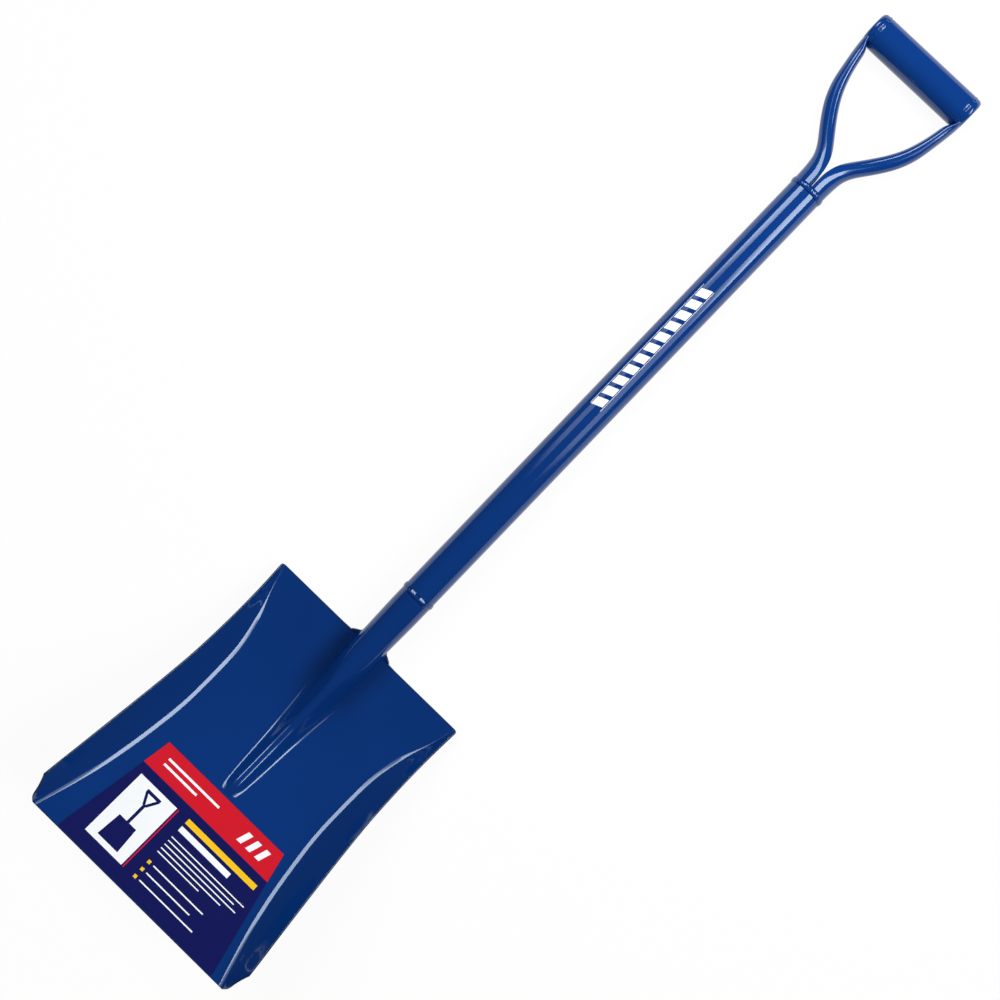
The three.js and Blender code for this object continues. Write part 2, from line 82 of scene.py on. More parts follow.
def divided(stops: list[float], counts: tuple[int, ...]) -> list[float]:
    """Values from the first stop to the last, with equal steps between two stops.

    Args:
        stops: where the steps' length changes.
        counts: how many steps lie between each stop and the next.

    Returns:
        The values in order.
    """
    values = [stops[0]]
    for start, end, count in zip(stops, stops[1:], counts):
        values += spread(start, end, count)[1:]
    return values


def curve_at(pairs: Pairs, place: float) -> float:
    """Value on the smooth curve through (place, value) pairs, without overshoot.

    Args:
        pairs: the curve's points, in order of place.
        place: where the value is wanted.

    Returns:
        The value there.
    """
    rises = [(b[1] - a[1]) / (b[0] - a[0]) for a, b in zip(pairs, pairs[1:])]
    slopes = [rises[0]]
    for before, after in zip(rises, rises[1:]):
        slopes.append(2 * before * after / (before + after) if before * after > 0 else 0.0)
    slopes.append(rises[-1])
    k = 0
    while k < len(rises) - 1 and place > pairs[k + 1][0]:
        k += 1
    (low, start), (high, end) = pairs[k : k + 2]
    u = (place - low) / (high - low)
    leave, arrive = slopes[k] * (high - low), slopes[k + 1] * (high - low)
    cubic = 2 * (start - end) + leave + arrive
    square = 3 * (end - start) - 2 * leave - arrive
    return start + u * (leave + u * (square + u * cubic))


def eased_at(pairs: Pairs, place: float, reach: float) -> float:
    """Value on the smooth curve with its bends evened out over a reach.

    Args:
        pairs: the curve's points, in order of place.
        place: where the value is wanted.
        reach: how far to both sides the curve is evened, less near its ends.

    Returns:
        The value there.
    """
    held = min(reach, place - pairs[0][0], pairs[-1][0] - place)
    offsets = range(-EASE_PARTS, EASE_PARTS + 1)
    shares = [1 + EASE_PARTS - abs(k) for k in offsets]
    parts = [curve_at(pairs, place + held * k / EASE_PARTS) for k in offsets]
    return sum(a * b for a, b in zip(parts, shares)) / sum(shares)


class Side(Enum):
    """The two sides of the tool, seen from above with the grip away."""

    RIGHT = "right"
    LEFT = "left"


class Ink(Enum):
    """Inks of the label and of the shaft's print."""

    RED = "red"
    YELLOW = "yellow"
    WHITE = "white"
    NAVY = "navy"


class Slot(Enum):
    """The record's material slots."""

    BLADE = "blade_enamel"
    TUBE = "tube_enamel"
    WELD = "weld_enamel"
    FILM = "label_film"


# Meshes


@dataclass
class Shell:
    """Points in millimetres, faces, and how much painted shade each point takes: full on cut edges,
    some in hollows and weld grooves.
    """

    points: list[Vector] = field(default_factory=list)
    faces: list[Face] = field(default_factory=list)
    painted_shade: list[float] = field(default_factory=list)

    def add(self, point: Vector, rim: float = 0.0) -> int:
        """Adds a point.

        Args:
            point: its place in millimetres.
            rim: painted shade, 1 on a sheet's cut edge, 0 away from it.

        Returns:
            The point's number.
        """
        self.points.append(point)
        self.painted_shade.append(rim)
        return len(self.points) - 1

    def join(self, other: "Shell") -> "Shell":
        """Adds another shell's points and faces.

        Args:
            other: the shell to add.

        Returns:
            This shell.
        """
        shift = len(self.points)
        self.points += other.points
        self.painted_shade += other.painted_shade
        self.faces += [tuple(k + shift for k in face) for face in other.faces]
        return self

    def mirrored(self) -> "Shell":
        """The same shell on the other side of the middle plane."""
        points = [Vector((-p.x, p.y, p.z)) for p in self.points]
        return Shell(points, [face[::-1] for face in self.faces], list(self.painted_shade))

    def laid_across(self, place: float) -> "Shell":
        """This shell with its axis turned from the shaft's to the grip's, at a place."""
        self.points = [Vector((p.y, place - p.x, p.z)) for p in self.points]
        return self


@dataclass(frozen=True)
class Sheet:
    """Turns a grid of points into steel sheet with rounded cut edges."""

    thickness: float
    edge_radius: float
    edge_steps: int = 3
    sharpest_corner: float = -0.3

    def shell(self, grid: list[Row]) -> Shell:
        """Sheet under a grid of points; a missing point leaves a notch.

        Args:
            grid: rows of points on the upper face, or None where there is no sheet.

        Returns:
            The closed shell, with the upper face's points first.
        """
        points, faces = self._face(grid)
        normals = self._normals(points, faces)
        outward, following = self._outward(points, normals, faces)
        shell, count = Shell(), len(points)
        # Border points and the rounded edge's rings take full painted shade of the sheet's edge.
        for depth in (0.0, self.thickness):
            for k, point in enumerate(points):
                inset = outward.get(k, Vector()) * self.edge_radius
                shell.add(point - inset - normals[k] * depth, float(k in outward))
        shell.faces += faces
        shell.faces += [tuple(k + count for k in reversed(face)) for face in faces]
        turns = spread(0, QUARTER_TURN, self.edge_steps)[1:]
        radius = self.edge_radius
        rim = [(radius * (1 - math.sin(turn)), radius * (1 - math.cos(turn))) for turn in turns]
        rim += [(inset, self.thickness - depth) for inset, depth in reversed(rim)]
        rings = {}
        for k, out in outward.items():
            ring = [points[k] - out * inset - normals[k] * depth for inset, depth in rim]
            # The rounded edge's points take full painted shade.
            rings[k] = [k, *[shell.add(point, 1.0) for point in ring], k + count]
        for here, there in following.items():
            near, far = rings[here], rings[there]
            for k in range(len(near) - 1):
                shell.faces.append((far[k], near[k], near[k + 1], far[k + 1]))
        return shell

    @staticmethod
    def _face(grid: list[Row]) -> tuple[list[Vector], list[Face]]:
        """Finds the upper face.

        Args:
            grid: rows of points, or None where there is no sheet.

        Returns:
            The points that are there, and the four-sided faces between them.
        """
        numbers: list[list[int]] = []
        points: list[Vector] = []
        for row in grid:
            numbers.append([])
            for point in row:
                numbers[-1].append(-1 if point is None else len(points))
                if point is not None:
                    points.append(point)
        faces = []
        for low, high in zip(numbers, numbers[1:]):
            for j in range(len(low) - 1):
                face = (low[j], low[j + 1], high[j + 1], high[j])
                if -1 not in face:
                    faces.append(face)
        return points, faces

    @staticmethod
    def _normals(points: list[Vector], faces: list[Face]) -> list[Vector]:
        """Finds the mean normal of the faces round each point.

        Args:
            points: points of the upper face.
            faces: its faces.

        Returns:
            A normal for each point.
        """
        normals = [Vector() for _ in points]
        for face in faces:
            a, b, c, d = (points[k] for k in face)
            normal = (c - a).cross(d - b).normalized()
            for k in face:
                normals[k] += normal
        return [normal.normalized() for normal in normals]

    def _outward(
        self, points: list[Vector], normals: list[Vector], faces: list[Face]
    ) -> tuple[dict[int, Vector], dict[int, int]]:
        """Finds the sheet's border.

        Args:
            points: points of the upper face.
            normals: its normals.
            faces: its faces.

        Returns:
            The way out of the sheet at each border point, and the border point after it.
        """
        edges = {(a, b) for face in faces for a, b in zip(face, face[1:] + face[:1])}
        border = {a: b for a, b in edges if (b, a) not in edges}
        sides = {
            a: (points[b] - points[a]).cross(normals[a]).normalized() for a, b in border.items()
        }
        outward = {}
        for a, b in border.items():
            turn = max(sides[a].dot(sides[b]), self.sharpest_corner)
            outward[b] = (sides[a] + sides[b]) / (1 + turn)
        return outward, border


@dataclass(frozen=True)
class Ripple:
    """Waves that a welding torch leaves along a bead, and its (share, waves, start) wanders."""

    waves: int
    height: float
    lean: float
    inner_radius: float
    wanders: tuple[tuple[float, float, float], ...] = ((0.4, 3, 0.7), (0.3, 7, 2.0))

    def at(self, turn: float, place: float, radius: float) -> float:
        """How far the bead stands proud or sunk.

        Args:
            turn: angle round the bead.
            place: place along the shaft, in millimetres.
            radius: the plain bead's radius there.

        Returns:
            The change of radius in millimetres, none at the root of the bead.
        """
        crown = min(max(radius - self.inner_radius, 0.0), 1.0)
        wave = math.cos(self.waves * turn + self.lean * place)
        wander = sum(share * math.sin(waves * turn + shift) for share, waves, shift in self.wanders)
        return crown * self.height * (wave - 1 + wander)


def turned(
    profile: list[tuple[float, float]],
    segments: int,
    ripple: Ripple | None = None,
    capped: bool = False,
) -> Shell:
    """Turns a (radius, place) profile about the shaft's axis.

    Args:
        profile: the outline, counter-clockwise with the place upward.
        segments: how many parts the round has.
        ripple: waves round the outside, or None for a plain round.
        capped: True closes both ends with a flat face, False closes the outline on itself.

    Returns:
        The ring, tube or disc.
    """
    shell, count = Shell(), len(profile)
    for turn in spread(0, 2 * math.pi, segments)[:-1]:
        for radius, place in profile:
            out = radius + (ripple.at(turn, place, radius) if ripple else 0.0)
            shell.add(Vector((out * math.sin(turn), place, out * math.cos(turn))))
    for segment in range(segments):
        here, there = segment * count, (segment + 1) % segments * count
        for j in range(count - 1 if capped else count):
            k = (j + 1) % count
            shell.faces.append((here + j, there + j, there + k, here + k))
    if capped:
        shell.faces.append(tuple(reversed(range(0, segments * count, count))))
        shell.faces.append(tuple(range(count - 1, segments * count, count)))
    return shell


def lofted(loops: list[list[Vector]]) -> Shell:
    """Bar through closed loops of equal count, with flat ends.

    Args:
        loops: the loops in order, each going the same way round.

    Returns:
        The closed bar.
    """
    shell, count = Shell(), len(loops[0])
    for point in (point for loop in loops for point in loop):
        shell.add(point)
    last = len(shell.points) - count
    for low in range(0, last, count):
        for j in range(count):
            a, b = low + j, low + (j + 1) % count
            shell.faces.append((a, b, b + count, a + count))
    shell.faces.append(tuple(reversed(range(count))))
    shell.faces.append(tuple(range(last, last + count)))
    return shell


# Finishes


class Socket(Enum):
    """Kinds of node group socket."""

    VALUE = "NodeSocketFloat"
    COLOR = "NodeSocketColor"


@dataclass(frozen=True)
class Bench:
    """A node tree, with one call for each node that goes into it."""

    tree: bpy.types.NodeTree

    def put(
        self, kind: str, group: bpy.types.NodeTree | None = None, **inputs: Given
    ) -> bpy.types.Node:
        """Adds a node.

        Args:
            kind: its type, without the words that all shader nodes begin with.
            group: the shared group that it places, if its type is Group.
            inputs: a socket or a plain value for each input, with _ for a space.

        Returns:
            The node.
        """
        node = self.tree.nodes.new(f"ShaderNode{kind}")
        if group is not None:
            node.node_tree = group
        for name, given in inputs.items():
            self.feed(node.inputs[name.replace("_", " ")], given)
        return node

    def feed(self, socket: bpy.types.NodeSocket, given: Given) -> None:
        """Links an input to another socket, or sets its own value.

        Args:
            socket: the input.
            given: the other socket, or the value.
        """
        if isinstance(given, bpy.types.NodeSocket):
            self.tree.links.new(given, socket)
        else:
            socket.default_value = given

    def maths(self, kind: str, first: Given, second: Given) -> bpy.types.NodeSocket:
        """Adds one arithmetic step.

        Args:
            kind: the operation's name.
            first: a socket or a number.
            second: a socket or a number.

        Returns:
            The result's socket.
        """
        node = self.put("Math")
        node.operation = kind
        self.feed(node.inputs[0], first)
        self.feed(node.inputs[1], second)
        return node.outputs["Value"]


class Effects:
    """Shader node groups that all finishes share, each built once."""

    cloud_detail: float = 3.0
    streak_detail: float = 4.0
    streak_stretch: float = 4.0
    streak_floor: float = 0.52
    peel_detail: float = 1.5
    nib_size: float = 90.0
    nib_fall: float = -30.0

    def __init__(self) -> None:
        """Builds the groups."""
        self.tone_and_shade = self._tone_and_shade()
        self.gloss = self._gloss()
        self.orange_peel = self._orange_peel()

    @staticmethod
    def _group(
        name: str, inputs: tuple[str, ...], output: str
    ) -> tuple[Bench, bpy.types.NodeOutputs, bpy.types.NodeSocket]:
        """Makes an empty group, in which a socket named Color is a colour.

        Args:
            name: the group's name.
            inputs: names of its input sockets.
            output: name of its output socket.

        Returns:
            The group's bench, the sockets that it is given and the one that it fills.
        """
        tree = bpy.data.node_groups.new(name, "ShaderNodeTree")
        for way, labels in (("INPUT", inputs), ("OUTPUT", (output,))):
            for label in labels:
                kind = Socket.COLOR if label == "Color" else Socket.VALUE
                tree.interface.new_socket(name=label, in_out=way, socket_type=kind.value)
        given, out = tree.nodes.new("NodeGroupInput"), tree.nodes.new("NodeGroupOutput")
        return Bench(tree), given.outputs, out.inputs[output]

    @staticmethod
    def _noise(
        bench: Bench, size: bpy.types.NodeSocket, detail: float, stretch: float = 1.0
    ) -> bpy.types.NodeSocket:
        """Noise over the object, in its own coordinates.

        Args:
            bench: the group that takes the nodes.
            size: socket with the noise's scale.
            detail: how many finer layers it has.
            stretch: how much longer its patches are along the shaft.

        Returns:
            The noise's value socket.
        """
        place = bench.put("TexCoord").outputs["Object"]
        squeezed = bench.put("Mapping", Vector=place, Scale=(1, 1 / stretch, 1))
        spot = squeezed.outputs["Vector"]
        noise = bench.put("TexNoise", Vector=spot, Scale=size, Detail=detail)
        return noise.outputs["Fac"]

    def _tone_and_shade(self) -> bpy.types.NodeTree:
        """Builds paint that lies a little thicker and thinner, and painted shade that darkens it on
        cut edges, in weld grooves and in hollows.

        Returns:
            The group.
        """
        inputs = ("Color", "Tone", "Size", "Edge", "Edge Tone")
        bench, given, out = self._group("tone_and_shade", inputs, "Color")
        cloud = self._noise(bench, given["Size"], self.cloud_detail)
        centred = bench.maths("SUBTRACT", cloud, 0.5)
        lit = bench.maths("ADD", bench.maths("MULTIPLY", centred, given["Tone"]), 1.0)
        # Painted shade: the Edge share darkens the colour by the Edge Tone.
        dark = bench.maths("MULTIPLY", given["Edge"], given["Edge Tone"])
        level = bench.maths("MULTIPLY", lit, bench.maths("SUBTRACT", 1.0, dark))
        scaled = bench.put("VectorMath", Vector=given["Color"])
        scaled.operation = "SCALE"
        bench.feed(scaled.inputs["Scale"], level)
        bench.feed(out, scaled.outputs["Vector"])
        return bench.tree

    def _gloss(self) -> bpy.types.NodeTree:
        """Builds roughness with faint streaks and smudges from wiping and handling.

        Returns:
            The group.
        """
        bench, given, out = self._group("gloss", ("Roughness", "Smudge", "Size"), "Roughness")
        streaks = self._noise(bench, given["Size"], self.streak_detail, self.streak_stretch)
        only = bench.maths("MAXIMUM", bench.maths("SUBTRACT", streaks, self.streak_floor), 0.0)
        rubbed = bench.maths("MULTIPLY", only, given["Smudge"])
        bench.feed(out, bench.maths("ADD", rubbed, given["Roughness"]))
        return bench.tree

    def _orange_peel(self) -> bpy.types.NodeTree:
        """Builds the height of sprayed enamel: a soft peel with a few dust nibs under the skin.

        Returns:
            The group.
        """
        bench, given, out = self._group("orange_peel", ("Size", "Nibs"), "Height")
        peel = self._noise(bench, given["Size"], self.peel_detail)
        place = bench.put("TexCoord").outputs["Object"]
        cells = bench.put("TexVoronoi", Vector=place, Scale=self.nib_size)
        near = bench.maths("MULTIPLY", cells.outputs["Distance"], self.nib_fall)
        nib = bench.maths("MAXIMUM", bench.maths("ADD", near, 1.0), 0.0)
        tall = bench.maths("MULTIPLY", nib, given["Nibs"])
        bench.feed(out, bench.maths("ADD", peel, tall))
        return bench.tree


@dataclass(frozen=True)
class Finish:
    """What a finish is made of; sizes are scales of the noise, depths are millimetres."""

    name: str
    color: Color
    roughness: float
    ior: float
    tone: float
    tone_size: float
    smudge: float
    smudge_size: float
    relief_size: float
    relief_depth: float
    nibs: float = 0.0
    # How dark the painted shade on edges, grooves and hollows makes the colour.
    painted_edge_shade: float = 0.0
    gleam: Color = (1.0, 1.0, 1.0)

    def material(self, effects: Effects) -> bpy.types.Material:
        """Makes the finish.

        Args:
            effects: the shared node groups.

        Returns:
            The material.
        """
        material = bpy.data.materials.new(self.name)
        material.use_nodes = True
        bench = Bench(material.node_tree)
        shader = bench.tree.nodes["Principled BSDF"].inputs
        shader["IOR"].default_value = self.ior
        shader["Specular Tint"].default_value = (*self.gleam, 1)
        # The rim attribute carries painted shade: cut edges, weld grooves and the blade's hollows.
        edge = bench.put("Attribute")
        edge.attribute_name = "rim"
        tone = bench.put(
            "Group",
            effects.tone_and_shade,
            Color=(*self.color, 1),
            Tone=self.tone,
            Size=self.tone_size,
            Edge=edge.outputs["Fac"],
            Edge_Tone=self.painted_edge_shade,
        )
        gloss = bench.put(
            "Group",
            effects.gloss,
            Roughness=self.roughness,
            Smudge=self.smudge,
            Size=self.smudge_size,
        )
        peel = bench.put("Group", effects.orange_peel, Size=self.relief_size, Nibs=self.nibs)
        bump = bench.put("Bump", Distance=self.relief_depth * MM, Height=peel.outputs["Height"])
        bench.feed(shader["Base Color"], tone.outputs["Color"])
        bench.feed(shader["Roughness"], gloss.outputs["Roughness"])
        bench.feed(shader["Normal"], bump.outputs["Normal"])
        return material


@dataclass(frozen=True)
class Enamel(Finish):
    """Glossy sprayed enamel on steel."""

    roughness: float = 0.05
    ior: float = 1.62
    tone: float = 0.24
    tone_size: float = 9.0
    smudge: float = 0.12
    smudge_size: float = 30.0
    relief_size: float = 260.0
    relief_depth: float = 0.006
    nibs: float = 1.0
    painted_edge_shade: float = 0.6
    gleam: Color = (0.74, 0.88, 1.0)


@dataclass(frozen=True)
class PrintedFilm(Finish):
    """Ink on thin plastic film, or screen print on paint."""

    roughness: float = 0.5
    ior: float = 1.2
    tone: float = 0.06
    tone_size: float = 60.0
    smudge: float = 0.3
    smudge_size: float = 45.0
    relief_size: float = 1400.0
    relief_depth: float = 0.002


@dataclass(frozen=True)
class Palette:
    """Every finish on the tool, made once."""

    effects: Effects = field(default_factory=Effects)
    made: dict[str, bpy.types.Material] = field(default_factory=dict)
    blade: Enamel = Enamel("enamel_on_sheet", (0.002, 0.029, 0.161))
    tube: Enamel = Enamel("enamel_on_tube", (0.002, 0.031, 0.169))
    # The weld's stronger edge shade is painted shade in the grooves at its roots.
    weld: Enamel = Enamel(
        "enamel_on_weld",
        (0.0015, 0.031, 0.171),
        roughness=0.09,
        painted_edge_shade=0.85,
        relief_size=420.0,
        relief_depth=0.02,
    )
    navy: PrintedFilm = PrintedFilm("navy_ink", (0.0004, 0.003, 0.08))
    red: PrintedFilm = PrintedFilm("red_ink", (0.55, 0.005, 0.017))
    yellow: PrintedFilm = PrintedFilm("yellow_ink", (0.83, 0.5, 0.008))
    white: PrintedFilm = PrintedFilm("white_ink", (0.81, 0.83, 0.85))

    def ink(self, ink: Ink) -> PrintedFilm:
        """The finish that stands for an ink."""
        finishes = (self.red, self.yellow, self.white, self.navy)
        return dict(zip(Ink, finishes))[ink]

    def of(self, finish: Finish) -> bpy.types.Material:
        """The material of a finish, made at its first use.

        Args:
            finish: one of the palette's finishes.

        Returns:
            The material.
        """
        if finish.name not in self.made:
            self.made[finish.name] = finish.material(self.effects)
        return self.made[finish.name]


# The tool


@dataclass(frozen=True)
class Blade:
    """The pressed sheet: floor, folded side walls, frog and open-backed socket.

    Tables of shares run along the floor, the frog, its half width or the clip. Rows and columns are
    counts of steps, and the hollows' painted shade tones are the left and the right one.
    """

    shoulder_lift: float = math.radians(2)
    mouth_lift: float = math.radians(24.5)
    bend_length: float = 178.0
    sheet: float = 1.8
    edge_radius: float = 0.3
    axis_over_floor: float = 8.0
    length: float = 301.4
    mouth_half_width: float = 114.9
    wall_height: float = 25.0
    fold_tangent: float = 5.5
    edge_row: float = 0.9
    crease_depth: float = 0.3
    crease_share: float = 0.55
    ease_reach: float = 0.05
    corner_clip: float = 22.5
    shoulder_radius: float = 2.5
    shoulder_end_share: float = 0.4
    frog_length: float = 183.0
    frog_tip_share: float = 0.88
    frog_round_length: float = 62.0
    frog_half_width: float = 23.9
    frog_crest_half_width: float = 1.6
    socket_length: float = 66.0
    socket_radius_at_shoulder: float = 15.2
    shaft_radius: float = 16.0
    socket_swell_length: float = 52.0
    socket_closing_length: float = 38.0
    socket_seam: float = 3.4
    flare_length: float = 9.0
    flare_power: float = 1.4
    seat_gap: float = 0.3
    arc_columns: int = 7
    foot_columns: int = 4
    frog_fineness: int = 4
    floor_columns: int = 10
    fold_columns: int = 8
    wall_columns: int = 9
    floor_parts: int = 64
    mouth_row: float = 1.0
    blade_rows: tuple[int, ...] = (3, 30, 50, 24, 24, 14)
    rear_row: float = 0.8
    socket_rows: tuple[int, ...] = (12, 20, 12)
    # Painted shade in the hollows beside the socket and the frog, darker on the left.
    hollow_shade_tones: tuple[float, float] = (0.62, 0.3)
    hollow_reach: tuple[float, float] = (18.0, 40.0)
    hollow_end: tuple[float, float] = (45.0, 100.0)
    fold_tangent_shares: Pairs = ((0, 0.04), (0.08, 0.09), (0.2, 0.27), (1, 0.27))
    clip_shares: Pairs = ((0, 1), (0.45, 0.66), (0.86, 0.36), (1, 0.08))
    fold_shares: Pairs = (
        (0, 0.933), (0.074, 0.884), (0.184, 0.785), (0.305, 0.734), (0.478, 0.731),
        (0.648, 0.772), (0.801, 0.84), (0.933, 0.935), (1, 0.99),
    )
    wall_top_shares: Pairs = (
        (0, 0.961), (0.088, 0.948), (0.209, 0.941), (0.35, 0.946), (0.488, 0.967),
        (0.623, 0.997), (0.758, 1.031), (0.912, 1.0725), (1, 1.092),
    )
    wall_height_shares: Pairs = (
        (0, 0.06), (0.074, 0.29), (0.182, 0.61), (0.303, 0.84), (0.47, 0.98), (0.673, 1),
        (0.842, 0.87), (1, 0.73),
    )
    frog_foot_shares: Pairs = (
        (0, 1), (0.2, 0.85), (0.45, 0.69), (0.64, 0.565), (0.8, 0.49), (0.92, 0.42), (1, 0.34),
    )
    frog_crest_shares: Pairs = (
        (0, 1), (0.2, 0.91), (0.34, 0.76), (0.46, 0.59), (0.56, 0.46), (0.7, 0.36),
        (0.84, 0.295), (0.91, 0.26), (0.945, 0.2), (0.975, 0.1), (1, 0),
    )
    frog_side_shares: Pairs = (
        (0, 1), (0.07, 0.98), (0.15, 0.92), (0.25, 0.8), (0.7, 0.232), (0.8, 0.126),
        (0.9, 0.044), (1, 0),
    )

    @property
    def shoulder_drop(self) -> float:
        """How far the floor's rear edge lies under the shaft's axis."""
        return self.axis_over_floor * math.cos(self.shoulder_lift)

    @property
    def shoulder_crest(self) -> float:
        """Height of the socket's crest over the floor at the shoulder."""
        return self.axis_over_floor + self.socket_radius_at_shoulder / math.cos(self.shoulder_lift)

    @property
    def mouth_place(self) -> float:
        """Foremost place of the blade, at the lower edge of its mouth."""
        return self.floor_at(self.length)[0] - self.sheet * math.sin(self.mouth_lift)

    @property
    def frog_columns(self) -> list[float]:
        """The frog's columns from crest to foot, finer than the solid's."""
        last = self.arc_columns + self.foot_columns
        return spread(0, last, last * self.frog_fineness)

    def lift_at(self, station: float) -> float:
        """How far the floor leans up at a station."""
        return mix(self.shoulder_lift, self.mouth_lift, smooth(station / self.bend_length))

    def floor_at(self, station: float) -> tuple[float, float]:
        """Place and height of the floor at a station, summed in small parts.

        Args:
            station: distance along the floor from the shoulder.

        Returns:
            The place along the shaft and the height.
        """
        part = station / self.floor_parts
        lifts = [self.lift_at((k + 0.5) * part) for k in range(self.floor_parts)]
        run = sum(part * math.cos(lift) for lift in lifts)
        rise = sum(part * math.sin(lift) for lift in lifts)
        return -run, rise - self.shoulder_drop

    def on_blade(self, across: float, station: float, height: float) -> Vector:
        """A point of the blade.

        Args:
            across: distance to the right of the middle.
            station: distance along the floor from the shoulder.
            height: height over the floor.

        Returns:
            The point.
        """
        place, floor = self.floor_at(station)
        lift = self.lift_at(station)
        return Vector((across, place + height * math.sin(lift), floor + height * math.cos(lift)))

    def shoulder_column(self, column: float) -> tuple[float, float]:
        """The middle of the sheet at the shoulder: the socket's round, then its foot.

        Args:
            column: 0 on the crest, up to the count of columns at the foot.

        Returns:
            The point's distance across and its height.
        """
        radius = self.socket_radius_at_shoulder
        if column <= self.arc_columns:
            turn = column / self.arc_columns * QUARTER_TURN
            height = radius * math.cos(turn) / math.cos(self.shoulder_lift)
            return radius * math.sin(turn), self.axis_over_floor + height
        turn = (column - self.arc_columns) / self.foot_columns * QUARTER_TURN
        across = mix(self.frog_half_width, radius, math.cos(turn))
        return across, self.axis_over_floor * (1 - math.sin(turn))

    def frog_column(self, station: float, column: float) -> tuple[float, float]:
        """A point of the frog's section: the socket's round at first, a ridge further on.

        Args:
            station: distance along the floor from the shoulder.
            column: 0 on the crest, up to the count of columns at the foot.

        Returns:
            The point's distance across and its height.
        """
        along = min(station / self.frog_length, 1)
        tall = curve_at(self.frog_crest_shares, along)
        foot = self.frog_half_width * curve_at(self.frog_foot_shares, along)
        across = foot * column / (self.arc_columns + self.foot_columns)
        flat = self.frog_crest_half_width
        down = max((across - flat) / (foot - flat), 0)
        side = self.shoulder_crest * curve_at(self.frog_side_shares, down)
        round_across, round_height = self.shoulder_column(column)
        ridge = smooth(station / self.frog_round_length)
        return mix(round_across, across, ridge), tall * mix(round_height, side, ridge)

    def wall_standing(self, station: float) -> float:
        """How much of the side wall stands: the front clip and the rounded rear corner.

        Args:
            station: distance along the floor from the shoulder.

        Returns:
            The share of the wall's height.
        """
        past = max((station - (self.length - self.corner_clip)) / self.corner_clip, 0)
        inside = min(station / self.shoulder_radius, 1)
        corner = mix(self.shoulder_end_share, 1, math.sqrt(1 - (1 - inside) ** 2))
        return curve_at(self.clip_shares, past) * corner

    def wall_point(
        self, run: float, rise: float, tangent: float, reach: float
    ) -> tuple[float, float]:
        """A point of the fold or of the side wall over it.

        Args:
            run: how far the whole wall leans out.
            rise: how high it stands.
            tangent: half length of the fold.
            reach: distance up the wall from the fold's middle, below 0 on the floor's side.

        Returns:
            The point's distance across from the fold's middle, and its height.
        """
        slant = math.hypot(run, rise)
        if reach < tangent:
            u = (reach + tangent) / (2 * tangent)
            return tangent * (run / slant * u**2 - (1 - u) ** 2), tangent * rise / slant * u**2
        depth = self.crease_depth * slant / self.wall_height
        crease = ((tangent, 0.0), (slant * self.crease_share, depth), (slant, 0.0))
        out = curve_at(crease, reach)
        return (run * reach + rise * out) / slant, (rise * reach - run * out) / slant

    def half(self, station: float) -> list[Vector]:
        """Half of the blade's section, from the middle to the top of the side wall.

        Args:
            station: distance along the floor from the shoulder.

        Returns:
            The points on the upper face.
        """
        along = station / self.length
        fold, rise, outside = (
            size * eased_at(shares, along, self.ease_reach)
            for size, shares in (
                (self.mouth_half_width, self.fold_shares),
                (self.wall_height, self.wall_height_shares),
                (self.mouth_half_width, self.wall_top_shares),
            )
        )
        run = outside - self.sheet * rise / math.hypot(outside - fold, rise) - fold
        slant = math.hypot(run, rise)
        tangent = min(self.fold_tangent, slant * curve_at(self.fold_tangent_shares, along))
        top = slant * self.wall_standing(station)
        outline = [self.frog_column(station, column) for column in self.frog_columns]
        floor = spread(outline[-1][0], fold - tangent, self.floor_columns)
        outline += [(across, 0.0) for across in floor[1:]]
        stops = [-tangent, min(tangent, (top - tangent) / 2), top - self.edge_row]
        for reach in [*divided(stops, (self.fold_columns, self.wall_columns))[1:], top]:
            across, height = self.wall_point(run, rise, tangent, reach)
            outline.append((fold + across, height))
        return [self.on_blade(across, station, height) for across, height in outline]

    def socket_radius(self, distance: float) -> float:
        """The socket's radius at a distance behind the shoulder."""
        swell = smooth(distance / self.socket_swell_length)
        return mix(self.socket_radius_at_shoulder, self.shaft_radius, swell)

    def socket_half(self, distance: float) -> list[Vector]:
        """Half of the socket, from its crown to its free edge.

        Args:
            distance: how far behind the shoulder.

        Returns:
            The points on the outer face.
        """
        radius = self.socket_radius(distance)
        closed = smooth(distance / self.socket_closing_length)
        shut = math.pi - math.asin(self.socket_seam / 2 / self.shaft_radius)
        all_columns = self.arc_columns + self.foot_columns
        side = mix(QUARTER_TURN, shut * self.arc_columns / all_columns, closed)
        edge = mix(QUARTER_TURN, shut, closed)
        flared = max(1 - distance / self.flare_length, 0) ** self.flare_power
        points = []
        for column in self.frog_columns:
            beyond = max(column - self.arc_columns, 0) / self.foot_columns
            turn = min(column / self.arc_columns, 1) * side + beyond * (edge - side)
            foot_across, foot_height = self.shoulder_column(column)
            foot_drop = (foot_height - self.axis_over_floor) * math.cos(self.shoulder_lift)
            spreading = flared * smooth(beyond * self.foot_columns)
            across = mix(radius * math.sin(turn), foot_across, spreading)
            height = mix(radius * math.cos(turn), foot_drop, spreading)
            lean = (height + self.shoulder_drop) * math.tan(self.shoulder_lift) * (1 - closed)
            points.append(Vector((across, distance + lean, height)))
        return points

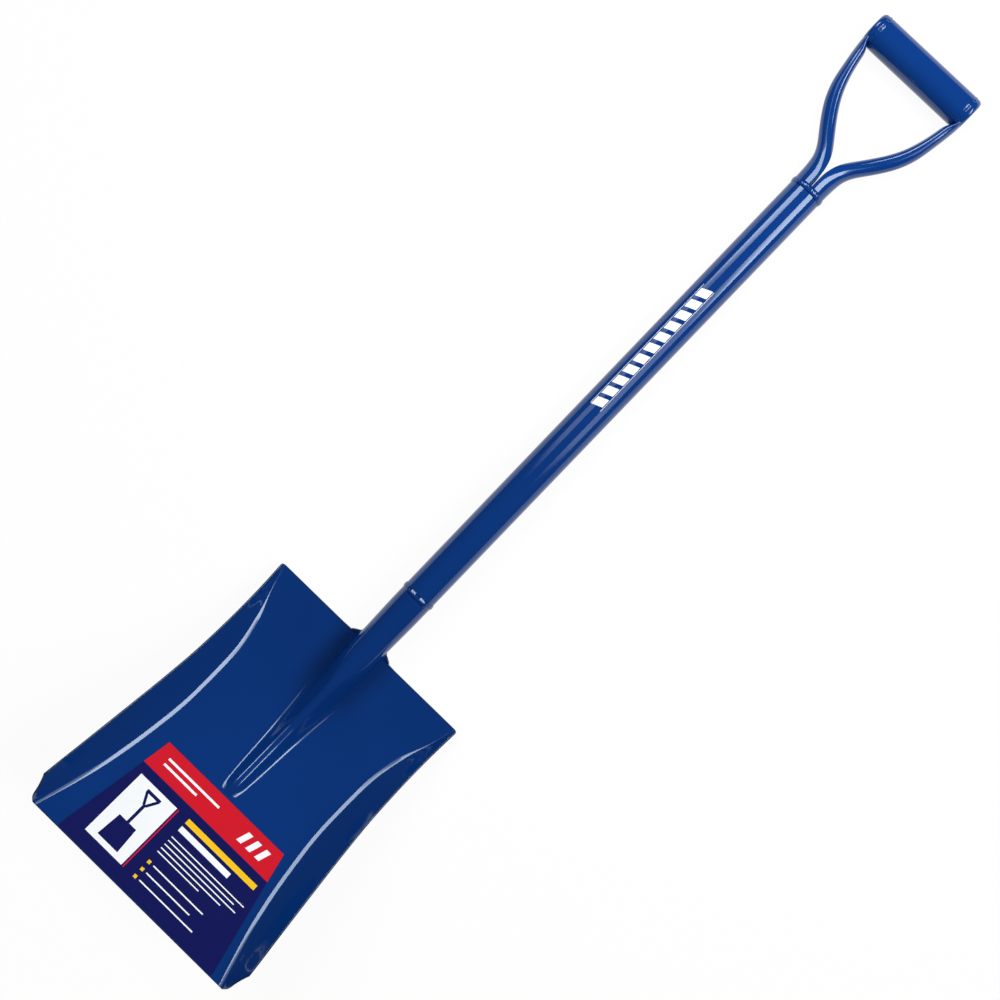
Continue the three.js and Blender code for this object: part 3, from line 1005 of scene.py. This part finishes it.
    def shell(self) -> Shell:
        """Makes the whole pressed sheet, with rows close together where it bends.

        Returns:
            The closed shell.
        """
        front = [
            0,
            self.shoulder_radius,
            self.frog_round_length,
            self.frog_length * self.frog_tip_share,
            self.frog_length,
            self.length - self.corner_clip,
            self.length - self.mouth_row,
        ]
        end = self.socket_length - self.seat_gap / 2
        rear = [0, self.flare_length, self.socket_closing_length, end - self.rear_row]
        stations = [*divided(front, self.blade_rows), self.length]
        rows = [self.half(station) for station in reversed(stations)]
        columns = len(rows[0])
        distances = [*divided(rear, self.socket_rows)[1:], end]
        rows += [self.socket_half(distance) for distance in distances]
        grid: list[Row] = []
        for row in rows:
            left = [Vector((-p.x, p.y, p.z)) for p in reversed(row[1:])]
            blank: Row = [None] * (columns - len(row))
            grid.append([*blank, *left, *row, *blank])
        shell = Sheet(self.sheet, self.edge_radius).shell(grid)
        # The hollows take painted shade too, on top of the edge shade.
        for k in range(sum(point is not None for row in grid for point in row)):
            shell.painted_shade[k] = max(shell.painted_shade[k], self.hollow(shell.points[k]))
        return shell

    def hollow(self, point: Vector) -> float:
        """How much painted shade darkens the hollows beside the socket and the frog.

        Args:
            point: a point of the upper face.

        Returns:
            A share, 0 away from the hollows.
        """
        inner, outer = self.hollow_reach
        near, far = self.hollow_end
        left_tone, right_tone = self.hollow_shade_tones
        radius = self.socket_radius_at_shoulder
        beside = smooth((outer - abs(point.x)) / (outer - inner))
        low = smooth((radius / 2 - point.z) / radius)
        tone = right_tone if point.x > 0 else left_tone
        return tone * beside * low * smooth((far + point.y) / (far - near))


@dataclass(frozen=True)
class Shaft:
    """The straight tube with the spigot that sits in the socket."""

    radius: float = 16.0
    wall: float = 1.5
    length: float = 494.3
    spigot_length: float = 34.0
    spigot_taper: float = 3.0
    spigot_clearance: float = 0.5
    end_round: float = 0.4
    end_share: float = 0.3
    rows: int = 60
    segments: int = 112

    def shell(self, blade: Blade) -> Shell:
        """The tube.

        Args:
            blade: the blade whose socket takes the tube.

        Returns:
            The closed tube with its bore.
        """
        start = blade.socket_length + blade.seat_gap / 2
        end = blade.socket_length + self.length - blade.seat_gap / 2
        tip = start - self.spigot_length
        spigot = blade.socket_radius(tip) - blade.sheet - self.spigot_clearance
        radius, eased = self.radius, self.end_round
        slight = self.end_share * eased
        skin = spread(start + eased, end - eased, self.rows)[1:]
        profile = [
            (spigot, tip),
            (spigot, start),
            (radius - eased, start),
            (radius - slight, start + slight),
            (radius, start + eased),
            *[(radius, place) for place in skin],
            (radius - slight, end - slight),
            (radius - eased, end),
            (radius - self.wall, end),
            (radius - self.wall, start + self.spigot_taper),
            (spigot - self.wall, start - self.spigot_taper),
            (spigot - self.wall, tip),
        ]
        return turned(profile, self.segments)


@dataclass(frozen=True)
class RingWeld:
    """A bead of weld round the shaft."""

    name: str
    place: float
    length: float
    radius: float = 17.0
    shaft_radius: float = 16.0
    clearance: float = 0.2
    # Depth from the bead's root over which its painted shade fades.
    root_shade_depth: float = 0.5
    crown_power: float = 1.6
    ripple: Ripple = Ripple(waves=38, height=0.1, lean=1.1, inner_radius=16.2)
    steps: int = 14
    segments: int = 220

    def shell(self) -> Shell:
        """Makes the rippled ring, with painted shade in the grooves at its roots.

        Returns:
            The closed ring.
        """
        inner = self.shaft_radius + self.clearance
        profile = [
            (mix(self.radius, inner, abs(u) ** self.crown_power), self.place + u * self.length / 2)
            for u in spread(-1, 1, self.steps)
        ]
        shell = turned(profile, self.segments, self.ripple)
        depths = [(math.hypot(p.x, p.z) - inner) / self.root_shade_depth for p in shell.points]
        shell.painted_shade = [1 - smooth(depth) for depth in depths]
        return shell


@dataclass(frozen=True)
class Arm:
    """One half of a split tube, rolled shut into an oval arm with a flat round ear.

    Tables of shares run from the yoke's weld to the grip's axis.
    """

    shaft_radius: float = 16.0
    length: float = 140.7
    seat_gap: float = 0.3
    wall: float = 1.5
    edge_radius: float = 0.25
    edge_steps: int = 2
    kerf: float = 1.4
    seam: float = 0.6
    ear_outer: float = 57.4
    ear_thickness: float = 5.8
    ear_radius: float = 15.8
    ear_rim_radius: float = 3.8
    ear_rim_steps: int = 6
    ear_inset: float = 0.12
    ear_inner_ease: float = 0.4
    ear_dish: float = 0.25
    ear_dish_share: float = 0.55
    ear_segments: int = 96
    closing_shares: tuple[float, float] = (0.06, 0.42)
    first_share: float = 0.004
    reach_share: float = 0.95
    crimp_share: float = 0.86
    slope_reach: float = 0.04
    ease_reach: float = 0.035
    ridge_lean: float = 0.1
    ridge_power: float = 2.1
    columns: int = 96
    rows: int = 110
    outer_shares: Pairs = (
        (0, 0), (0.04, 0), (0.108, 0.009), (0.181, 0.037), (0.218, 0.082), (0.254, 0.149),
        (0.289, 0.234), (0.325, 0.33), (0.4, 0.514), (0.473, 0.668), (0.545, 0.779),
        (0.616, 0.853), (0.726, 0.921), (0.834, 0.976), (0.908, 1), (1, 1),
    )
    inner_shares: Pairs = (
        (0, 0), (0.108, 0), (0.181, 0.028), (0.218, 0.058), (0.254, 0.099), (0.289, 0.156),
        (0.325, 0.221), (0.4, 0.373), (0.473, 0.517), (0.545, 0.638), (0.616, 0.729),
        (0.726, 0.825), (0.834, 0.888), (0.868, 0.91), (0.884, 0.965), (0.902, 1), (1, 1),
    )

    @property
    def ear_inner(self) -> float:
        """Distance of the ear's inner face from the middle."""
        return self.ear_outer - self.ear_thickness

    def sides(self, along: float) -> tuple[float, float]:
        """Middle line and half width of the arm, seen from above.

        Args:
            along: share of the way from the yoke's weld to the grip's axis.

        Returns:
            The middle's distance from the shaft's axis, and the half width.
        """
        end = self.ear_outer - self.ear_inset
        outer = mix(self.shaft_radius, end, eased_at(self.outer_shares, along, self.ease_reach))
        end = self.ear_inner + self.ear_inset
        inner = mix(self.kerf / 2, end, eased_at(self.inner_shares, along, self.ease_reach))
        return (outer + inner) / 2, (outer - inner) / 2

    def rolled_point(self, half_width: float, flat: float, share: float) -> tuple[float, float]:
        """The tall oval of a rolled strip, from the middle of its outer side.

        Args:
            half_width: half of the section's width.
            flat: how much taller than wide its half is.
            share: share of the way to the strip's edge, below 0 on the lower side.

        Returns:
            The point's distance across and its height.
        """
        tall = flat + half_width
        turn = share * (math.pi - self.seam / 2 / tall)
        along, up = math.cos(turn), math.sin(turn)
        height = tall * math.sqrt(1 - abs(along) ** self.ridge_power)
        return half_width * (along - self.ridge_lean * up**2), math.copysign(height, share)

    def row(self, along: float, start: float) -> Row:
        """One row across the strip: half of the split tube at first, rolled shut further up.

        Args:
            along: share of the way from the yoke's weld to the grip's axis.
            start: place of the yoke's weld.

        Returns:
            The points on the outer face.
        """
        middle, half_width = self.sides(along)
        start_middle, start_half = self.sides(0)
        ahead = self.sides(min(along + self.slope_reach, 1))[0]
        behind = self.sides(max(along - self.slope_reach, 0))[0]
        slope = (ahead - behind) / (2 * self.slope_reach * self.length)
        square = half_width / math.hypot(1, 0 if along > self.crimp_share else slope)
        flat = max((math.pi * self.shaft_radius - 2 * math.pi * square) / 4, 0)
        first, last = self.closing_shares
        closed = smooth((along - first) / (last - first))
        opening = math.acos(self.kerf / 2 / self.shaft_radius)
        place = start + self.seat_gap / 2 + along * (self.length - self.seat_gap / 2)
        points: Row = []
        for share in spread(1, -1, self.columns):
            split = self.shaft_radius * math.cos(share * opening) - start_middle
            split_height = self.shaft_radius * math.sin(share * opening)
            rolled, rolled_height = self.rolled_point(square, flat, share)
            across = mix(split / start_half, rolled / square, closed)
            height = mix(split_height, rolled_height, closed)
            points.append(Vector((middle + across * half_width, place, height)))
        return points

    def ear(self, place: float) -> Shell:
        """The flat round ear with its eased rim.

        Args:
            place: the grip's axis.

        Returns:
            The closed disc.
        """
        radius, rim, ease = self.ear_radius, self.ear_rim_radius, self.ear_inner_ease
        profile = [
            (radius - rim, self.ear_inner),
            (radius - ease, self.ear_inner),
            (radius, self.ear_inner + ease),
        ]
        for turn in spread(0, QUARTER_TURN, self.ear_rim_steps):
            sunk = rim * (1 - math.sin(turn))
            profile.append((radius - rim * (1 - math.cos(turn)), self.ear_outer - sunk))
        profile.append((radius * self.ear_dish_share, self.ear_outer - self.ear_dish))
        return turned(profile, self.ear_segments, capped=True).laid_across(place)

    def shell(self, start: float) -> Shell:
        """The right-hand arm with its ear.

        Args:
            start: place of the yoke's weld.

        Returns:
            The shell.
        """
        alongs = [0, *spread(self.first_share, self.reach_share, self.rows)]
        grid = [self.row(along, start) for along in alongs]
        strip = Sheet(self.wall, self.edge_radius, self.edge_steps).shell(grid)
        return strip.join(self.ear(start + self.length))


@dataclass(frozen=True)
class Grip:
    """The hollow cross tube and the beads that join it to the ears."""

    radius: float = 16.0
    wall: float = 1.5
    end_radius: float = 3.5
    half_length: float = 51.3
    seat_gap: float = 0.3
    skin_steps: int = 8
    bore_steps: int = 5
    rows: int = 24
    segments: int = 128
    ear_radius: float = 15.8
    bead_crown: float = 0.5
    bead_proud: float = 0.3
    bead_sunk: float = 0.15
    bead_leg: float = 2.6
    bead_outer_shares: tuple[float, float] = (0.72, 0.4)
    bead_inner_shares: tuple[float, float] = (0.7, 0.5)
    bead_ripple: float = 0.24
    bead_waves: int = 26
    bead_start: float = math.radians(34)
    bead_steps: int = 5
    bead_rows: int = 150

    def _end(self, depth: float, turns: list[float]) -> list[tuple[float, float]]:
        """The tube's rounded end at a distance under the skin.

        Args:
            depth: distance under the skin.
            turns: angles round the end, from the side of the tube.

        Returns:
            Points as (radius, place along the grip).
        """
        radius = self.end_radius - depth
        middle = self.radius - self.end_radius
        centre = self.half_length - self.end_radius
        return [
            (middle + radius * math.cos(turn), centre + radius * math.sin(turn)) for turn in turns
        ]

    def tube(self, place: float) -> Shell:
        """The cross tube.

        Args:
            place: its axis along the shaft.

        Returns:
            The closed tube with its bore.
        """
        skin = self._end(0, spread(0, QUARTER_TURN, self.skin_steps))
        bore = self._end(self.wall, spread(0, QUARTER_TURN, self.bore_steps))
        far_skin = [(radius, -along) for radius, along in reversed(skin)]
        far_bore = [(radius, -along) for radius, along in bore]
        places = spread(far_skin[-1][1], skin[0][1], self.rows)[1:-1]
        body = [(self.radius, along) for along in places]
        profile = [*far_skin, *body, *skin, *reversed(bore), *far_bore]
        return turned(profile, self.segments).laid_across(place)

    def bead(self, place: float) -> Shell:
        """The right-hand bead, which fills the valley between the tube's end and the ear.

        Args:
            place: the grip's axis along the shaft.

        Returns:
            The closed bead.
        """
        radius = self.end_radius - self.bead_sunk
        first = math.asin((self.end_radius - self.bead_leg) / radius)
        last = math.acos(self.bead_crown / radius)
        valley = self._end(self.bead_sunk, spread(first, last, self.bead_steps))
        face = self.half_length + self.seat_gap + self.bead_sunk
        tip = (self.radius + self.bead_proud, face - self.bead_leg / 2)
        ear, root = (self.ear_radius, face), valley[0]
        (out_tall, out_along), (in_tall, in_along) = self.bead_outer_shares, self.bead_inner_shares
        loops = []
        for turn in spread(self.bead_start, 2 * math.pi - self.bead_start, self.bead_rows):
            wave = 1 - self.bead_ripple * (1 + math.cos(self.bead_waves * turn))
            section = [
                *valley,
                ear,
                (mix(ear[0], tip[0], out_tall * wave), mix(face, tip[1], out_along)),
                (mix(ear[0], tip[0], wave), tip[1]),
                (mix(root[0], tip[0], in_tall * wave), mix(tip[1], root[1], in_along)),
            ]
            across, up = math.cos(turn), math.sin(turn)
            loops.append(
                [Vector((along, place - out * across, -out * up)) for out, along in section]
            )
        return lofted(loops)


@dataclass(frozen=True)
class Patch:
    """One printed shape, as corners on the label in millimetres."""

    ink: Ink
    corners: Pairs
    layer: int = 1


def bar(
    ink: Ink, left: float, top: float, wide: float, tall: float, lean: float = 0, layer: int = 1
) -> Patch:
    """A printed bar.

    Args:
        ink: its ink.
        left: left end across the label.
        top: top edge down the label.
        wide: width.
        tall: height.
        lean: how far its top leans to the right.
        layer: how many inks it lies over, and itself.

    Returns:
        The patch.
    """
    low, right = top + tall, left + wide
    return Patch(ink, ((left, low), (right, low), (right + lean, top), (left + lean, top)), layer)


@dataclass(frozen=True)
class Label:
    """The thin film on the blade's floor, with a plain design and a plain sign of a spade."""

    thickness: float = 0.3
    lifted: float = 0.12
    ink_thickness: float = 0.03
    corner_radius: float = 2.5
    corner_steps: int = 6
    top_station: float = 185.0
    bottom_station: float = 300.2
    top_left: float = 68.6
    top_right: float = 74.0
    bottom_left: float = 84.9
    bottom_right: float = 99.9
    band_height: float = 27.0
    band_inset: float = 0.15
    design: tuple[Patch, ...] = (
        *[bar(Ink.WHITE, left, 7.5, 5.5, 12, lean=4, layer=2) for left in (34, 45, 56)],
        *[bar(Ink.WHITE, -58, top, wide, 2.2, layer=2) for top, wide in ((9.5, 62), (15.5, 40))],
        *[bar(Ink.WHITE, -8, 55.5 + 4.2 * k, (88, 80, 86, 72, 50)[k], 1) for k in range(5)],
        *[bar(Ink.WHITE, -1.5, 83.4 + 8.2 * k, (60, 52, 64)[k], 1.2) for k in range(3)],
        *[bar(Ink.YELLOW, -8, 82.5 + 8.2 * k, 3.2, 3.2) for k in range(3)],
        bar(Ink.YELLOW, -8, 35, 84, 5.2),
        bar(Ink.WHITE, -8, 43.5, 60, 5.2),
        bar(Ink.WHITE, -66, 36, 44, 66),
        bar(Ink.RED, -20.5, 36, 1.2, 66),
        bar(Ink.NAVY, -52, 41, 16, 3, layer=2),
        bar(Ink.NAVY, -46.2, 44, 3, 10, lean=-5.8, layer=2),
        bar(Ink.NAVY, -44.8, 44, 3, 10, lean=5.8, layer=2),
        bar(Ink.NAVY, -45.5, 54, 3, 19, layer=2),
        Patch(Ink.NAVY, ((-56, 97), (-32, 97), (-34, 73), (-54, 73)), layer=2),
    )

    def span(self, down: float) -> tuple[float, float]:
        """Left and right edge of the film.

        Args:
            down: distance down from the top edge.

        Returns:
            The two edges across the blade.
        """
        share = down / (self.bottom_station - self.top_station)
        left = -mix(self.top_left, self.bottom_left, share)
        return left, mix(self.top_right, self.bottom_right, share)

    def patches(self) -> list[Patch]:
        """Puts the red band, which follows the film's edges, under the rest of the design.

        Returns:
            The printed shapes.
        """
        inset, low = self.band_inset, self.band_height
        (left, right), (low_left, low_right) = self.span(0), self.span(low)
        band = ((low_left + inset, low), (low_right - inset, low))
        band += ((right - inset, inset), (left + inset, inset))
        return [Patch(Ink.RED, band), *self.design]

    def _slab(self, blade: Blade, corners: Pairs, low: float, high: float) -> Shell:
        """A thin flat piece on the blade's floor.

        Args:
            blade: the blade that carries it.
            corners: its corners as (across, down), counter-clockwise seen from above.
            low: height of its lower face over the floor.
            high: height of its upper face.

        Returns:
            The closed slab.
        """
        top = self.top_station
        loops = [
            [blade.on_blade(across, top + down, height) for across, down in corners]
            for height in (low, high)
        ]
        return lofted(loops)

    def film(self, blade: Blade) -> Shell:
        """The film with its rounded corners.

        Args:
            blade: the blade that carries it.

        Returns:
            The closed film.
        """
        tall, radius = self.bottom_station - self.top_station, self.corner_radius
        (left, right), (low_left, low_right) = self.span(0), self.span(tall)
        centres = (
            (low_left + radius, tall - radius),
            (low_right - radius, tall - radius),
            (right - radius, radius),
            (left + radius, radius),
        )
        outline = []
        for (across, down), quarter in zip(centres, (2, 3, 0, 1)):
            for step in spread(quarter, quarter + 1, self.corner_steps):
                out, up = math.cos(step * QUARTER_TURN), math.sin(step * QUARTER_TURN)
                outline.append((across + radius * out, down - radius * up))
        return self._slab(blade, tuple(outline), self.lifted, self.lifted + self.thickness)

    def prints(self, blade: Blade) -> dict[Ink, Shell]:
        """The printed shapes, one shell for each ink.

        Args:
            blade: the blade that carries the film.

        Returns:
            The shells by ink.
        """
        shells: dict[Ink, Shell] = {}
        base = self.lifted + self.thickness
        for patch in self.patches():
            low, high = base - self.ink_thickness / 2, base + self.ink_thickness * patch.layer
            slab = self._slab(blade, patch.corners, low, high)
            shells.setdefault(patch.ink, Shell()).join(slab)
        return shells


@dataclass(frozen=True)
class ShaftPrint:
    """White screen print on the shaft: plain slanted blocks between two thin rules."""

    start: float = 297.0
    blocks: int = 11
    pitch: float = 13.0
    block_length: float = 8.6
    low_turn: float = math.radians(-27)
    high_turn: float = math.radians(9)
    rule_gap: float = math.radians(4)
    rule_half_turn: float = math.radians(2 / 3)
    lean: float = 4.0
    thickness: float = 0.03
    steps: int = 12

    def shell(self, radius: float) -> Shell:
        """The print, laid round the tube.

        Args:
            radius: the tube's radius.

        Returns:
            The shell.
        """
        shell = Shell()
        end = self.start
        for k in range(self.blocks):
            low = self.start + k * self.pitch
            end = low + self.block_length
            turns = spread(self.low_turn, self.high_turn, self.steps)
            shell.join(self._block(radius, (low, end), turns, self.lean))
        for turn in (self.low_turn - self.rule_gap, self.high_turn + self.rule_gap):
            turns = spread(turn - self.rule_half_turn, turn + self.rule_half_turn, self.steps)
            shell.join(self._block(radius, (self.start, end + self.lean), turns, 0.0))
        return shell

    def _block(
        self, radius: float, ends: tuple[float, float], turns: list[float], lean: float
    ) -> Shell:
        """One block of the print.

        Args:
            radius: the tube's radius.
            ends: its lower and its upper end along the shaft.
            turns: angles round the shaft from its left edge to its right edge.
            lean: how far the right edge is shifted along the shaft.

        Returns:
            The closed block.
        """
        (low, high), inner, outer = ends, radius - self.thickness, radius + self.thickness
        loops = []
        for turn in turns:
            moved = lean * (turn - turns[0]) / (turns[-1] - turns[0])
            section = ((inner, low), (inner, high), (outer, high), (outer, low))
            across, up = math.sin(turn), math.cos(turn)
            loops.append([Vector((out * across, end + moved, out * up)) for out, end in section])
        return lofted(loops)


@dataclass(frozen=True)
class Workshop:
    """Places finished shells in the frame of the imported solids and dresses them."""

    palette: Palette
    middle_place: float
    rest_height: float
    sharp_angle: float = math.radians(50)

    def piece(
        self, name: str, shell: Shell, finish: Finish, slot: Slot, node: str | None = None
    ) -> bpy.types.Object:
        """Makes a scene object of a shell.

        Args:
            name: the piece's name.
            shell: its shape in millimetres.
            finish: its finish.
            slot: the record's material slot; not used.
            node: the solid that it stands for, if any.

        Returns:
            The object.
        """
        shift = Vector((0, -self.middle_place, self.rest_height))
        mesh = bpy.data.meshes.new(name)
        mesh.from_pydata([(p + shift) * MM for p in shell.points], [], shell.faces)
        # The rim attribute holds each point's painted shade.
        rim = mesh.attributes.new("rim", "FLOAT", "POINT")
        rim.data.foreach_set("value", shell.painted_shade)
        mesh.polygons.foreach_set("use_smooth", [True] * len(mesh.polygons))
        mesh.set_sharp_from_angle(angle=self.sharp_angle)
        mesh.materials.append(self.palette.of(finish))
        piece = bpy.data.objects.new(name, mesh)
        bpy.context.scene.collection.objects.link(piece)
        if isinstance(finish, Enamel):
            evened = piece.modifiers.new("evened_normals", "WEIGHTED_NORMAL")
            evened.keep_sharp = True
        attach(piece, BODY)
        if node is not None:
            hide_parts(node)
            self._report_fit(mesh, node)
        LOG.info("%s: %d points, %d faces", name, len(shell.points), len(shell.faces))
        return piece

    @staticmethod
    def _report_fit(mesh: bpy.types.Mesh, node: str) -> None:
        """Logs how far a piece's corners are from its solid's.

        Args:
            mesh: the new piece's mesh.
            node: the solid's name.
        """
        gaps = []
        for corner, end in zip(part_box(node), (min, max)):
            for k, edge in enumerate(corner):
                gaps.append(round((end(v.co[k] for v in mesh.vertices) - edge) / MM, 2))
        LOG.info("%s against its solid, mm: %s", node, gaps)


# The studio


@dataclass(frozen=True)
class Lamp:
    """One soft lamp over the floor, by the ground that it covers."""

    name: str
    low: tuple[float, float]
    high: tuple[float, float]
    radiance: float
    height: float = 16.0
    mirrored: bool = True
    fade: Pairs = ()

    def build(self) -> bpy.types.Object:
        """Makes the lamp.

        Returns:
            The lamp's object.
        """
        data = bpy.data.lights.new(self.name, "AREA")
        data.shape = "RECTANGLE"
        data.size = self.high[0] - self.low[0]
        data.size_y = self.high[1] - self.low[1]
        data.energy = self.radiance * math.pi * data.size * data.size_y
        lamp = bpy.data.objects.new(self.name, data)
        lamp.location = (*[(a + b) / 2 for a, b in zip(self.low, self.high)], self.height)
        lamp.visible_camera = False
        lamp.visible_glossy = self.mirrored
        bpy.context.scene.collection.objects.link(lamp)
        if self.fade:
            self._fade(data)
        return lamp

    def _fade(self, data: bpy.types.Light) -> None:
        """Makes the lamp fainter at its near end, by place along the floor.

        Args:
            data: the lamp's settings.
        """
        near, far = self.low[1], self.high[1]
        data.use_nodes = True
        bench = Bench(data.node_tree)
        place = bench.put("NewGeometry").outputs["Position"]
        along = bench.put("SeparateXYZ", Vector=place).outputs["Y"]
        share = bench.put("MapRange", Value=along, From_Min=near, From_Max=far)
        ramp = bench.put("ValToRGB", Fac=share.outputs["Result"])
        stops = ramp.color_ramp.elements
        while len(stops) < len(self.fade):
            stops.new(1.0)
        for stop, (where, level) in zip(stops, self.fade):
            stop.position = (where - near) / (far - near)
            stop.color = (level, level, level, 1)
        bench.feed(bench.tree.nodes["Emission"].inputs["Strength"], ramp.outputs["Color"])


@dataclass(frozen=True)
class Studio:
    """Pale floor, soft lamps and the camera."""

    floor_half_size: float = 30.0
    floor_white: float = 0.88
    background_share: float = 0.93
    room_white: float = 0.05
    camera_place: tuple[float, float, float] = (0.04181, 0.0622, 1.37663)
    camera_degrees: tuple[float, float, float] = (-1.6119, 4.3755, 43.8212)
    lens: float = 55.0
    sensor: float = 36.0
    fade: Pairs = ((-0.9, 0.0), (-0.2, 0.2), (2.7, 0.2), (4.1, 1.0))
    lamps: tuple[Lamp, ...] = (
        Lamp("right", low=(8.0, -0.9), high=(26.4, 14.0), radiance=9.5, fade=fade),
        Lamp("left", low=(-22.4, -0.9), high=(-6.8, 14.0), radiance=7.8, fade=fade),
        Lamp(
            "handle_fill",
            low=(-0.2, 0.22),
            high=(0.2, 0.62),
            radiance=3.8,
            height=0.48,
            mirrored=False,
        ),
    )

    def build(self) -> None:
        """Makes everything round the tool."""
        self._floor()
        self._room()
        for lamp in self.lamps:
            lamp.build()
        self._camera()

    def _floor(self) -> None:
        """The floor, which keeps the tool's shadow, and shows white to all rays but diffuse."""
        size = self.floor_half_size
        mesh = bpy.data.meshes.new("floor")
        corners = [(-size, -size, 0), (size, -size, 0), (size, size, 0), (-size, size, 0)]
        mesh.from_pydata(corners, [], [(0, 1, 2, 3)])
        floor = bpy.data.objects.new("floor", mesh)
        bpy.context.scene.collection.objects.link(floor)
        material = bpy.data.materials.new("floor_white")
        material.use_nodes = True
        mesh.materials.append(material)
        bench = Bench(material.node_tree)
        bench.tree.nodes.clear()
        rays = bench.put("LightPath").outputs
        seen = bench.maths("MAXIMUM", rays["Is Camera Ray"], rays["Is Glossy Ray"])
        seen = bench.maths("MAXIMUM", seen, rays["Is Transmission Ray"])
        share = bench.maths("MULTIPLY", seen, self.background_share)
        blend = bench.put("MixShader", Fac=share)
        paper = bench.put("BsdfDiffuse", Color=(*[self.floor_white] * 3, 1))
        bench.feed(blend.inputs[1], paper.outputs["BSDF"])
        bench.feed(blend.inputs[2], bench.put("Emission").outputs["Emission"])
        bench.put("OutputMaterial", Surface=blend.outputs["Shader"])

    def _room(self) -> None:
        """The dim room beyond the floor and the lamps."""
        world = bpy.data.worlds.new("room")
        bpy.context.scene.world = world
        world.use_nodes = True
        background = world.node_tree.nodes["Background"]
        background.inputs["Color"].default_value = (*[self.room_white] * 3, 1)

    def _camera(self) -> None:
        """The camera, nearly straight above with the tool lying across the picture."""
        data = bpy.data.cameras.new("camera")
        data.lens = self.lens
        data.sensor_width = self.sensor
        camera = bpy.data.objects.new("camera", data)
        camera.location = self.camera_place
        camera.rotation_euler = [math.radians(angle) for angle in self.camera_degrees]
        bpy.context.scene.collection.objects.link(camera)
        bpy.context.scene.camera = camera


def main() -> None:
    """Builds the tool piece by piece, then the studio."""
    logging.basicConfig(level=logging.INFO, format="%(name)s %(message)s")
    bpy.context.scene.view_settings.view_transform = "Standard"
    blade, shaft, arm, grip, label = Blade(), Shaft(), Arm(), Grip(), Label()
    yoke_start = blade.socket_length + shaft.length
    grip_place = yoke_start + arm.length
    far_end = grip_place + grip.radius + grip.bead_crown
    welds = (
        RingWeld("socket_weld", blade.socket_length, length=5.4),
        RingWeld("yoke_weld", yoke_start, length=6.0),
    )
    palette = Palette()
    shop = Workshop(palette, (far_end + blade.mouth_place) / 2, RingWeld.radius)

    shop.piece("blade_sheet", blade.shell(), palette.blade, Slot.BLADE, "blade")
    shop.piece("shaft_skin", shaft.shell(blade), palette.tube, Slot.TUBE, "shaft_tube")
    shop.piece("shaft_print", ShaftPrint().shell(shaft.radius), palette.white, Slot.FILM)
    for weld in welds:
        shop.piece(f"{weld.name}_bead", weld.shell(), palette.weld, Slot.WELD, weld.name)
    arm_right, bead_right = arm.shell(yoke_start), grip.bead(grip_place)
    for side, arm_shell, bead in (
        (Side.RIGHT, arm_right, bead_right),
        (Side.LEFT, arm_right.mirrored(), bead_right.mirrored()),
    ):
        name = side.value
        shop.piece(f"arm_{name}", arm_shell, palette.tube, Slot.TUBE, f"yoke_arm_{name}")
        shop.piece(f"grip_bead_{name}", bead, palette.weld, Slot.WELD, f"grip_weld_{name}")
    shop.piece("grip_skin", grip.tube(grip_place), palette.tube, Slot.TUBE, "grip_tube")
    shop.piece("label_film", label.film(blade), palette.navy, Slot.FILM, "blade_label")
    for ink, shell in label.prints(blade).items():
        shop.piece(f"label_{ink.value}", shell, palette.ink(ink), Slot.FILM)
    Studio().build()


if __name__ == "__main__":
    main()
